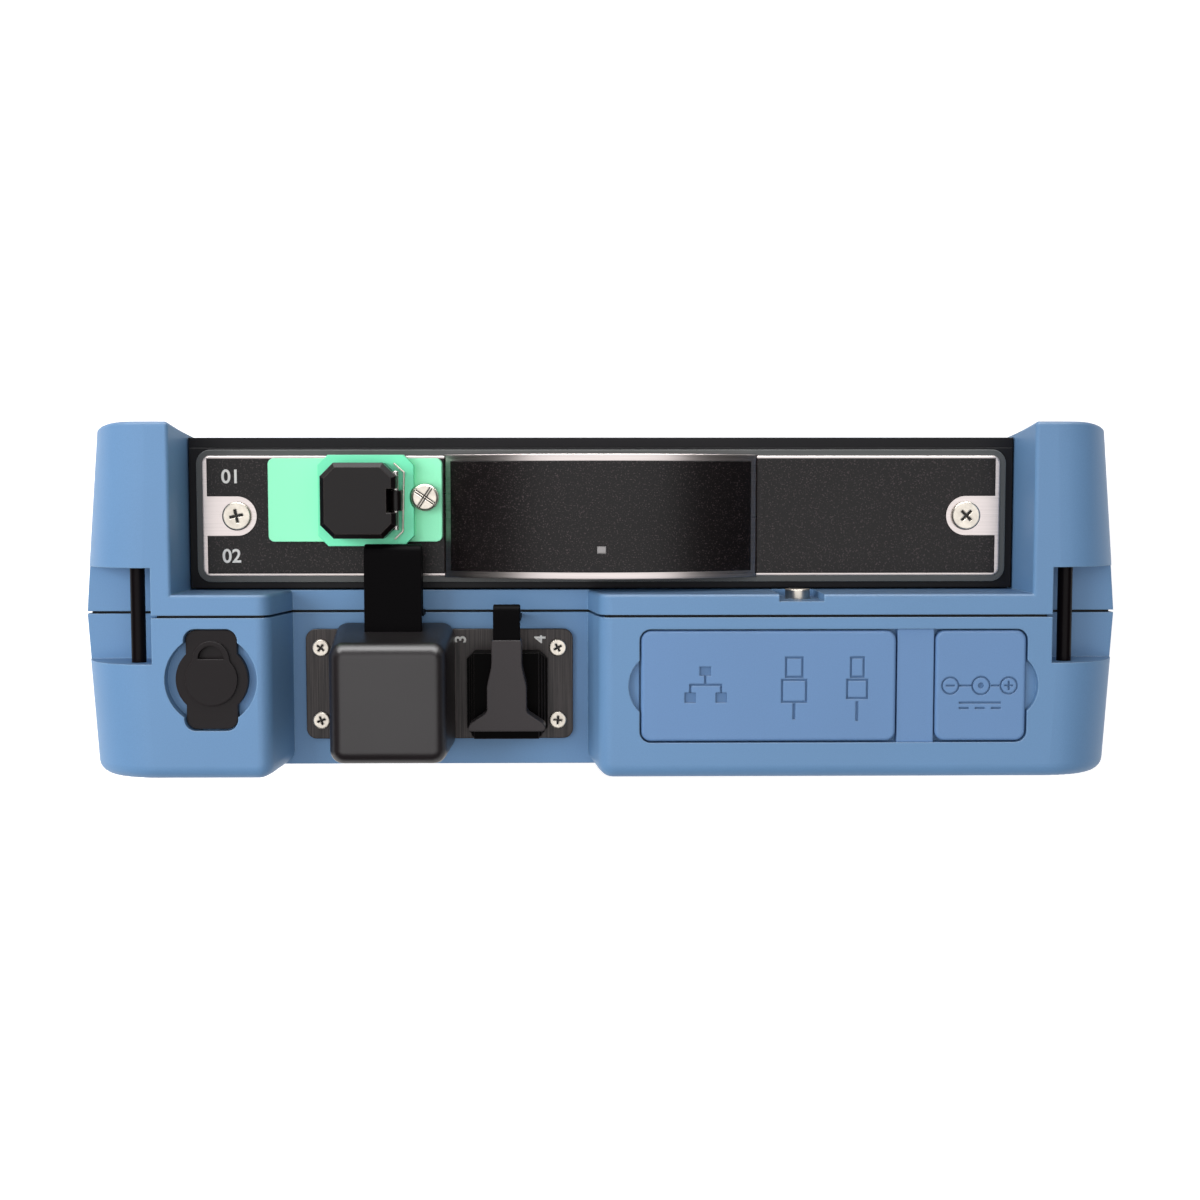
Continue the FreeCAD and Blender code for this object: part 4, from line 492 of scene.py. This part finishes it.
def plain_glass():
    """Dark glass over the switched-off display, with a faint smear."""
    made = bpy.data.materials.new("display_glass")
    made.use_nodes = True
    tree = made.node_tree
    shader = tree.nodes["Principled BSDF"]
    shader.inputs["Base Color"].default_value = tint(14, 17, 20)
    shader.inputs["Coat Weight"].default_value = 1.0
    shader.inputs["Coat Roughness"].default_value = 0.02
    where = add_node(tree, "TexCoord").outputs["Object"]
    smear = stretch(tree, noise(tree, where, scale=22.0, detail=4.0), 0.3, 0.7)
    rough = math_node(tree, "ADD", math_node(tree, "MULTIPLY", smear, 0.05), 0.05)
    tree.links.new(rough, shader.inputs["Roughness"])
    return made


GLASS = plain_glass()

CAD_FINISH = {
    "front_shell": BLUE, "rear_shell": BLUE, "housing_seal": SEAL, "strap_bars": BAR,
    "display_bezel": BEZEL, "touch_glass": GLASS, "lcd_panel": BEZEL, "home_key": KEY, "power_key": KEY,
    "key_domes": PORT, "key_board": BOARD, "main_board": BOARD, "board_screws": SCREW,
    "rj45_jack": PORT, "usb_jack": PORT, "micro_usb_jack": PORT, "dc_jack": CASE_BLACK,
    "ports_flap": FLAP_BLUE, "dc_flap": FLAP_BLUE, "flap_anchor": FLAP_BLUE, "probe_port": CASE_BLACK,
    "probe_plug": PLUG_BLACK, "tester_plate": PLATE, "tester_screws": SCREW, "meter_port": PORT,
    "meter_cover": RUBBER, "vfl_port": BLOCK_BLACK, "vfl_cover": RUBBER, "module_case": CASE_BLACK,
    "module_cover": CASE_BLACK, "module_board": BOARD, "module_posts": CASE_BLACK, "laser_block": PORT,
    "faceplate_gasket": GASKET, "faceplate": SILVER, "left_overlay": FILM, "right_overlay": FILM,
    "hump_panel": SILVER, "hump_overlay": FILM, "status_light": LAMP_LENS, "module_screws": SCREW,
    "connector_base": GREEN, "connector_boss": BOSS_GREEN_SHADED, "hinge_bracket": CAP_BLACK,
    "port_cap": CAP_BLACK, "cap_hinge_pin": PORT, "fibre_adapter": PORT, "thumbscrew": SCREW,
    "hold_screw": SCREW, "battery_door": DOOR_BLACK, "battery_pack": BATTERY, "tilt_stand": DOOR_BLACK,
    "stand_pins": PORT, "housing_screws": SCREW,
}
for node, material in CAD_FINISH.items():
    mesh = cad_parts[node].data
    mesh.materials.clear()
    mesh.materials.append(material)


# ---------------------------------------------------------------- housing half with its drafted sides


def drafted_rear_shell():
    """The rear half with its sides drawn in towards the back, and its two corner pads ramped down."""
    draft, draft_start = 1.6 * MM, -2 * MM
    core_half, fade = 93 * MM, 7 * MM
    back, pads_above = 31.55 * MM, 120 * MM
    pad_foot, pad_top, thinnest = 151.0 * MM, 164.5 * MM, 0.02
    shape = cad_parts["rear_shell"].data.copy()
    shape.name = "rear_shell_drafted"
    furthest = span("rear_shell")[1].y * MM
    for vert in shape.vertices:
        place = vert.co
        outward = min(max((abs(place.x) - core_half) / fade, 0), 1)
        along = max((place.y - draft_start) / (furthest - draft_start), 0)
        place.x -= math.copysign(draft * outward * along, place.x)
        if place.y > back and place.z > pads_above:
            climb = min(max((place.z - pad_foot) / (pad_top - pad_foot), thinnest), 1)
            place.y = back + (place.y - back) * climb
    shape.materials.clear()
    shape.materials.append(BLUE)
    made = add_object("rear_shell_drafted", shape)
    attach(made, "root")
    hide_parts("rear_shell")


drafted_rear_shell()


# ---------------------------------------------------------------- screws

CROSS_DEEP = 0.55
TURN_BETWEEN = 33  # degrees from the cross of one screw to the next


def bar(x, y, long, wide, low, high, degrees=0):
    """Straight bar lying flat, turned about its own middle."""
    bm = block((x - long / 2, y - wide / 2, low), (x + long / 2, y + wide / 2, high))
    turn = Matrix.Rotation(math.radians(degrees), 3, "Z")
    bmesh.ops.rotate(bm, cent=(x, y, 0), matrix=turn, verts=bm.verts)
    return bm


def joined(*parts):
    """One bmesh from several."""
    whole = bmesh.new()
    for part in parts:
        scratch = bare_mesh("scratch", part)
        whole.from_mesh(scratch)
        bpy.data.meshes.remove(scratch)
    return whole


def crowned_disc(x, y, radius, low, high, crown, segments):
    """Round slab with its upper rim rounded over."""
    bm = disc(x, y, radius, low, high)
    soften(bm, rim(bm, high), crown, segments)
    return bm


def screw_row(node, radius, seat, shank, crown, slot_long, slot_wide, degrees):
    """Cross-recess screws at the corners of a node's box."""
    low, high = span(node)
    across = sorted({round(low.x + radius, 3), round(high.x - radius, 3)})
    along = sorted({round(low.y + radius, 3), round(high.y - radius, 3)})
    one_row_deep = radius * 2.5
    if high.y - low.y < one_row_deep:
        along = [(low.y + high.y) / 2]
    floor = high.z - CROSS_DEEP
    heads, cutters = [], []
    for x in across:
        for y in along:
            heads.append(crowned_disc(x, y, radius, seat, high.z, crown, 4))
            heads.append(disc(x, y, shank, low.z, seat + LAP))
            for quarter in (0, 90):
                cutters.append(bar(x, y, slot_long, slot_wide, floor, high.z + PAST, degrees + quarter))
            degrees += TURN_BETWEEN
    made = place_mesh(node + "_set", carve(node, joined(*heads), cutters), SCREW, "root", 30)
    # The floors of the crosses take a darker colour: painted shade.
    paint_floor_shade(made, RECESS_SHADE, floor)
    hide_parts(node)


screw_row("module_screws", radius=2.85, seat=152.15, shank=1.3, crown=0.4, slot_long=2.7, slot_wide=0.55,
          degrees=12)
screw_row("tester_screws", radius=1.7, seat=153.2, shank=0.6, crown=0.25, slot_long=1.7, slot_wide=0.38,
          degrees=20)


def knurled_thumbscrew():
    """Head with a knurled edge, a plain rim, and a cross of double lines cut in its top."""
    head_tall, knurl_top, valley_share = 2.6, 0.35, 0.93
    crown_share, crown_foot, crown_round = 0.9, 1, 0.3
    line_deep, line_wide, line_away, shank = 0.25, 0.2, 0.22, 1.2
    low, high = span("thumbscrew")
    x, y = (low.x + high.x) / 2, (low.y + high.y) / 2
    radius, seat = (high.x - low.x) / 2, high.z - head_tall
    head = disc(x, y, radius, seat, high.z - knurl_top, 80)
    ridges = standing(head)
    ridges.sort(key=lambda edge: math.atan2(edge.verts[0].co.y - y, edge.verts[0].co.x - x))
    valleys = [vert for edge in ridges[::2] for vert in edge.verts]
    about = Matrix.Translation((-x, -y, 0))
    bmesh.ops.scale(head, vec=(valley_share, valley_share, 1), space=about, verts=valleys)
    crown = crowned_disc(x, y, radius * crown_share, seat + crown_foot, high.z, crown_round, 3)
    floor, line_long = high.z - line_deep, radius * 1.7
    lines = []
    for way in (56, 146):
        for side in (-line_away, line_away):
            shift = Matrix.Rotation(math.radians(way), 2) @ Vector((0, side))
            lines.append(bar(x + shift.x, y + shift.y, line_long, line_wide, floor, high.z + PAST, way))
    whole = joined(head, crown, disc(x, y, shank, low.z, seat + LAP))
    shape = carve("thumbscrew", whole, lines)
    made = place_mesh("thumbscrew_knurled", shape, SCREW, "thumbscrew", 25)
    # The floors of the cut lines take a darker colour: painted shade.
    paint_floor_shade(made, RECESS_SHADE, floor)
    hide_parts("thumbscrew")


knurled_thumbscrew()


# ---------------------------------------------------------------- rubber flaps with sunken signs

SIGN_WIDE = 0.38
SIGN_DEEP = 0.32


def hoop(x, y, radius, wide, low, high):
    """Flat ring."""
    bm = bmesh.new()
    bmesh.ops.create_circle(bm, cap_ends=False, segments=40, radius=radius - wide)
    grown = bmesh.ops.extrude_edge_only(bm, edges=bm.edges[:])["geom"]
    outer = [part for part in grown if isinstance(part, bmesh.types.BMVert)]
    bmesh.ops.scale(bm, vec=(radius / (radius - wide),) * 2 + (1,), verts=outer)
    raise_faces(bm, bm.faces[:], high - low)
    bmesh.ops.translate(bm, vec=(x, y, low), verts=bm.verts)
    return bm


def flap(node, marks):
    """Rubber flap with rounded corners, a soft rim and signs sunk in its face."""
    corner_round, rim_round = 1.9, 0.6
    low, high = span(node)
    bm = block(low, high)
    soften(bm, standing(bm), corner_round, 6)
    soften(bm, rim(bm, high.z), rim_round, 4)
    shape = carve(node, bm, marks(low, high.z - SIGN_DEEP, high.z + PAST))
    made = place_mesh(node + "_rubber", shape, FLAP_BLUE, node, 35)
    # The floors of the signs take a darker blue: painted shade.
    paint_floor_shade(made, SIGN_SHADE, high.z - SIGN_DEEP)
    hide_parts(node)


def outline(left, near, right, far, low, high):
    """Four bars round a rectangle."""
    wide = SIGN_WIDE
    return [block((left, near, low), (right, near + wide, high)),
            block((left, far - wide, low), (right, far, high)),
            block((left, near + wide, low), (left + wide, far - wide, high)),
            block((right - wide, near + wide, low), (right, far - wide, high))]


def port_signs(corner, low, high):
    """Network sign of three boxes on a bus, and two plugs, placed from the flap's near left corner."""
    x, y = corner.x, corner.y
    boxes = ((11.2, 12.65, 13.4, 14.4), (8.35, 7.45, 10.5, 9.4), (14.3, 7.45, 16.45, 9.4))
    made = []
    for left, near, right, far in boxes:
        made.append(block((x + left, y + near, low), (x + right, y + far, high)))
    made.append(bar(x + 12.4, y + 10.9, 6.3, SIGN_WIDE, low, high))
    for stem, middle, long in ((12.3, 11.86, 1.55), (9.44, 10.05, 1.28), (15.36, 10.05, 1.28)):
        made.append(bar(x + stem, y + middle, long, SIGN_WIDE, low, high, 90))
    shell_foot, shell_end, body_end = 12.2, 16.3, 12.0
    cable_middle, cable_reach, cable_wide = 5.75, 7.7, SIGN_WIDE * 1.4
    for middle, shell, body, deep in ((29.35, 1.75, 2.5, 4.6), (41.45, 1.4, 2.1, 3.9)):
        made += outline(x + middle - shell, y + shell_foot, x + middle + shell, y + shell_end, low, high)
        made += outline(x + middle - body, y + body_end - deep, x + middle + body, y + body_end, low, high)
        made.append(bar(x + middle, y + cable_middle, cable_reach - deep, cable_wide, low, high, 90))
    return made


def power_signs(corner, low, high):
    """Polarity row of minus, socket and plus, over a solid line and a broken one."""
    row, line_wide, rule_wide = 10.65, 0.32, 0.36
    x, y = corner.x, corner.y + row
    minus, socket, plus = x + 2.85, x + 8.75, x + 14.1
    made = []
    for middle in (minus, plus):
        made += [hoop(middle, y, 1.75, line_wide, low, high), bar(middle, y, 1.7, line_wide, low, high)]
    for away in (0.52, -0.52):
        made.append(bar(plus, y + away, 0.7, line_wide, low, high, 90))
    made += [hoop(socket, y, 1.85, line_wide, low, high), disc(socket, y, 0.55, low, high, 24)]
    for middle, long in ((5.75, 2.3), (11.5, 1.6)):
        made.append(bar(x + middle, y, long, line_wide, low, high))
    made.append(bar(x + 8.6, y - 3.3, 8.1, rule_wide, low, high))
    for dash in (5.5, 8.6, 11.7):
        made.append(bar(x + dash, y - 4.35, 1.9, rule_wide, low, high))
    return made


flap("ports_flap", port_signs)
flap("dc_flap", power_signs)


# ---------------------------------------------------------------- rubber covers of the two test ports

STRAP_THICK = 1.15
STRAP_FOOT = 152.35


def lean(bm, level, way, chosen):
    """Lean a side by moving its corners at one height."""
    corners = [vert for vert in bm.verts if abs(vert.co.z - level) < LEVEL_PLAY and chosen(vert.co)]
    bmesh.ops.translate(bm, vec=way, verts=corners)


def folded(cover_y, top, fold_y, fold_radius, drop_y, drop_radius, counts):
    """Steps of a strap over the bay floor, half round a fold, back beneath and down into the recess."""
    drop_top = top - 2 * fold_radius - drop_radius
    over, fold, back, turn, fall = counts
    return [("run", (fold_y - cover_y, 0), over), ("bend", (fold_y, top - fold_radius), -180, fold),
            ("run", (drop_y - fold_y, 0), back), ("bend", (drop_y, drop_top), 90, turn),
            ("run", (0, STRAP_FOOT - drop_top), fall)]


def strap(name, width, start, steps):
    """Tether strap that bends between the housing and its cover."""
    bm = ribbon(start, steps, width)
    thicken(bm, STRAP_THICK)
    made = place_mesh(name, to_mesh(name, bm), STRAP, None)
    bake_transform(made)


def meter_dome():
    """Block-shaped cover, wider at its foot, with a broad soft rim and a bore for the port."""
    tall, back = 18.5, -5.05
    left_lean, right_lean, back_lean = 1.35, -0.3, -2.7
    corner_round, rim_round = 2.6, 2.5
    bore_radius, bore_deep = 8.55, 13.2
    low, high = span("meter_cover")
    foot = high.z - tall
    middle, near_half = (low.x + high.x) / 2, low.y + 5
    bm = block((low.x, low.y, foot), (high.x, back, high.z))
    lean(bm, high.z, (left_lean, 0, 0), lambda place: place.x < middle)
    lean(bm, high.z, (right_lean, 0, 0), lambda place: place.x > middle)
    lean(bm, high.z, (0, back_lean, 0), lambda place: place.y > near_half)
    soften(bm, standing(bm), corner_round, 6)
    soften(bm, rim(bm, high.z), rim_round, 3)
    port = centre("meter_port")
    bore = disc(port.x, port.y, bore_radius, foot - PAST, foot + bore_deep, 64)
    shape = carve("meter_cover", bm, [bore])
    made = place_mesh("meter_cover_rubber", shape, RUBBER, "meter_cover")
    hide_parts("meter_cover")


def meter_strap():
    """Wide strap that folds back under itself behind the meter cover."""
    x, cover_y, top = -40.65, -6.9, 161.3
    steps = folded(cover_y, top, fold_y=8.9, fold_radius=1.85, drop_y=-1.45, drop_radius=0.9,
                   counts=(8, 8, 5, 4, 3))
    strap("meter_cover_strap", 11.1, (x, cover_y, top), steps)


meter_dome()
meter_strap()


def fault_tongue():
    """Flat rubber tongue that flares into two ears over the light port."""
    tall, waist, neck = 5.1, 3.8, 2.9
    corner_round, rim_round = 0.7, 0.8
    bore_radius, bore_top = 2.5, 163.1
    low, high = span("vfl_cover")
    x, near = (low.x + high.x) / 2, low.y
    foot = high.z - tall
    ear = (high.x - low.x) / 2
    side = [(ear, near), (ear, near + 1.2), (waist, near + 3.6), (waist, near + 8.6),
            (neck, near + 12.6), (neck, near + 17.6)]
    plan = [(x + away, y) for away, y in side] + [(x - away, y) for away, y in reversed(side)]
    bm = slab(plan, foot, high.z)
    soften(bm, standing(bm), corner_round, 4)
    soften(bm, rim(bm, high.z), rim_round, 4)
    port = centre("vfl_port")
    bore = disc(port.x, port.y, bore_radius, foot - PAST, bore_top, 32)
    made = place_mesh("vfl_cover_rubber", carve("vfl_cover", bm, [bore]), TONGUE, "vfl_cover")
    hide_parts("vfl_cover")


def tongue_strap():
    """Narrow tether that goes round a small fold and down behind the tongue."""
    x, cover_y, top = -18.6, -8.4, 163.85
    steps = folded(cover_y, top, fold_y=-2.35, fold_radius=1.55, drop_y=-2.45, drop_radius=0.7,
                   counts=(4, 8, 1, 4, 4))
    strap("vfl_cover_strap", 5.2, (x, cover_y, top), steps)


fault_tongue()
tongue_strap()


# ---------------------------------------------------------------- trim round the fibre cap


def shutter_frame():
    """Thin metal strip standing on the connector boss round the hinge side of its cap."""
    foot, tall, thick = 156.6, 0.7, 0.28
    bm = bmesh.new()
    places = [(-40.6, 26.5), (-38.55, 24.7), (-38.85, 13.1), (-40.5, 11.5)]
    corners = [bm.verts.new((x, y, foot)) for x, y in places]
    for first, second in zip(corners, corners[1:]):
        bm.edges.new((first, second))
    grown = bmesh.ops.extrude_edge_only(bm, edges=bm.edges[:])["geom"]
    moved = [part for part in grown if isinstance(part, bmesh.types.BMVert)]
    bmesh.ops.translate(bm, vec=(0, 0, tall), verts=moved)
    bmesh.ops.solidify(bm, geom=bm.faces[:], thickness=thick)
    place_mesh("cap_shutter_frame", to_mesh("cap_shutter_frame", bm), SCREW, "root", 30)


def hinge_slot_shade_pad():
    """Thin black pad on the connector boss, seen through the slot of the cap's hinge: a dark sheet that
    paints the shade in the slot.
    """
    boss_top = span("connector_boss")[1].z
    left, near, right, far = -42.3, 16.5, -40.9, 21.8
    foot, top = boss_top + 0.02, boss_top + 0.24
    corner_round, rim_round = 0.4, 0.08
    bm = slab([(left, near), (right, near), (right, far), (left, far)], foot, top)
    soften(bm, standing(bm), corner_round, 3)
    soften(bm, rim(bm, top), rim_round, 2)
    place_mesh("cap_hinge_pad", to_mesh("cap_hinge_pad", bm), BLOCK_BLACK, "root")


shutter_frame()
hinge_slot_shade_pad()


# ---------------------------------------------------------------- plain numerals on the plates

PRINT_LIFT = 0.03  # keeps the middle of the print's thickness clear of its plate


def numeral(figure, place, height, turn=0):
    """Printed figure lying on a plate."""
    name = "numeral_" + figure
    type_size, print_half, bolder = height * 1.4, 0.01, 0.07
    curve = bpy.data.curves.new(name, "FONT")
    curve.body = figure
    curve.size = type_size
    curve.extrude = print_half
    curve.offset = bolder
    curve.align_x = "CENTER"
    written = add_object(name + "_text", curve)
    shape = bpy.data.meshes.new_from_object(written.evaluated_get(bpy.context.evaluated_depsgraph_get()))
    bpy.data.objects.remove(written)
    bpy.data.curves.remove(curve)
    shape.name = name
    turned = Matrix.Rotation(math.radians(turn), 4, "Z")
    shape.transform(Matrix.Scale(MM, 4) @ Matrix.Translation(place) @ turned)
    place_mesh(name, shape, PRINT, "root")


film_print = span("left_overlay")[1].z + PRINT_LIFT
plate_print = span("tester_plate")[1].z + PRINT_LIFT
numeral("01", (-73.4, 22.6, film_print), height=2.7)
numeral("02", (-73.4, 6.9, film_print), height=2.7)
numeral("3", (-27.2, -8.4, plate_print), height=2.2, turn=90)
numeral("4", (-11.4, -8.4, plate_print), height=2.2, turn=90)


# ---------------------------------------------------------------- floor, light and camera, in metres

FLOOR_GLOW = 0.55
SKY_LIGHT = 0.42  # what falls on the object; the eye and mirrors see 1


def plain_sight(tree):
    """1 for what the eye, mirrors and glass see, 0 for what lights the object."""
    rays = add_node(tree, "LightPath")
    bounced = math_node(tree, "MAXIMUM", rays.outputs["Is Glossy Ray"], rays.outputs["Is Transmission Ray"])
    return math_node(tree, "MAXIMUM", rays.outputs["Is Camera Ray"], bounced)


def floor_material():
    """White floor that keeps the shadow: lit white, plus a glow that only the eye and mirrors see."""
    made = bpy.data.materials.new("studio_floor")
    made.use_nodes = True
    tree = made.node_tree
    shader = tree.nodes["Principled BSDF"]
    shader.inputs["Base Color"].default_value = (0.85, 0.85, 0.85, 1)
    shader.inputs["Roughness"].default_value = 0.9
    glow = add_node(tree, "Emission")
    tree.links.new(math_node(tree, "MULTIPLY", plain_sight(tree), FLOOR_GLOW), glow.inputs["Strength"])
    both = add_node(tree, "AddShader")
    tree.links.new(shader.outputs[0], both.inputs[0])
    tree.links.new(glow.outputs[0], both.inputs[1])
    tree.links.new(both.outputs[0], tree.nodes["Material Output"].inputs["Surface"])
    return made


def lay_floor():
    """Flat floor at the object's foot."""
    bm = bmesh.new()
    bmesh.ops.create_grid(bm, x_segments=2, y_segments=2, size=4.0)
    made = add_object("studio_floor", bare_mesh("studio_floor", bm))
    made.data.materials.append(floor_material())
    made.location.z = cad_low.z


def light_world():
    """White sky that lights the object less than it shows."""
    world = bpy.data.worlds.new("studio_world")
    bpy.context.scene.world = world
    world.use_nodes = True
    tree = world.node_tree
    sky = tree.nodes["Background"]
    sky.inputs["Color"].default_value = (1, 1, 1, 1)
    shown = math_node(tree, "MULTIPLY", plain_sight(tree), 1 - SKY_LIGHT)
    tree.links.new(math_node(tree, "ADD", shown, SKY_LIGHT), sky.inputs["Strength"])


def softbox(name, place, aim, width, depth, watts):
    """Rectangular studio lamp at a place, turned towards an aim."""
    lamp = bpy.data.lights.new(name, "AREA")
    lamp.shape = "RECTANGLE"
    lamp.size = width
    lamp.size_y = depth
    lamp.energy = watts
    made = add_object(name, lamp)
    made.location = place
    made.rotation_mode = "QUATERNION"
    made.rotation_quaternion = (Vector(aim) - Vector(place)).to_track_quat("-Z", "Y")
    return made


def hang_flag(name, place, size):
    """Black studio flag that only reflections meet, so that dark parts have something dark to mirror."""
    bm = bmesh.new()
    bmesh.ops.create_cube(bm, size=1.0)
    bmesh.ops.scale(bm, vec=size, verts=bm.verts)
    bmesh.ops.translate(bm, vec=place, verts=bm.verts)
    made = add_object(name, bare_mesh(name, bm))
    made.data.materials.append(SEAL)
    made.visible_camera = False
    made.visible_diffuse = False
    made.visible_shadow = False


def stand_camera():
    """Camera above the connector edge, tipped a little towards the display side."""
    lens = bpy.data.cameras.new("camera")
    lens.sensor_width = 36.0
    lens.lens = 47.8
    made = add_object("camera", lens)
    place = Matrix.Translation((-0.00468, 0.02172, 0.4688))
    for axis, degrees in (("Y", -0.76), ("X", -4.05), ("Z", -0.033)):
        place @= Matrix.Rotation(math.radians(degrees), 4, axis)
    made.matrix_world = place
    bpy.context.scene.camera = made


lay_floor()
light_world()
softbox("top_box", place=(0.0, 0.05, 1.06), aim=(0, 0, 0.16), width=1.26, depth=0.8, watts=3.2)
rear_strip = softbox("rear_strip", place=(-0.05, 0.8, 0.36), aim=(0, 0, 0.18),
                     width=1.2, depth=0.44, watts=18.0)
rear_strip.visible_diffuse = False
left_box = softbox("left_box", place=(-0.5, 0.1, 0.55), aim=(-0.1, 0, 0.15),
                   width=0.3, depth=0.5, watts=2.6)
left_box.visible_glossy = False
for side, way in (("left", -1), ("right", 1)):
    hang_flag(side + "_flag", place=(0.75 * way, 0, 0.73), size=(0.01, 1.8, 1.06))
hang_flag("near_flag", place=(0, -0.75, 0.9), size=(1.5, 0.01, 1.4))
hang_flag("far_flag", place=(0, 1.0, 1.15), size=(1.5, 0.01, 1.0))
stand_camera()
bpy.context.scene.view_settings.view_transform = "Standard"
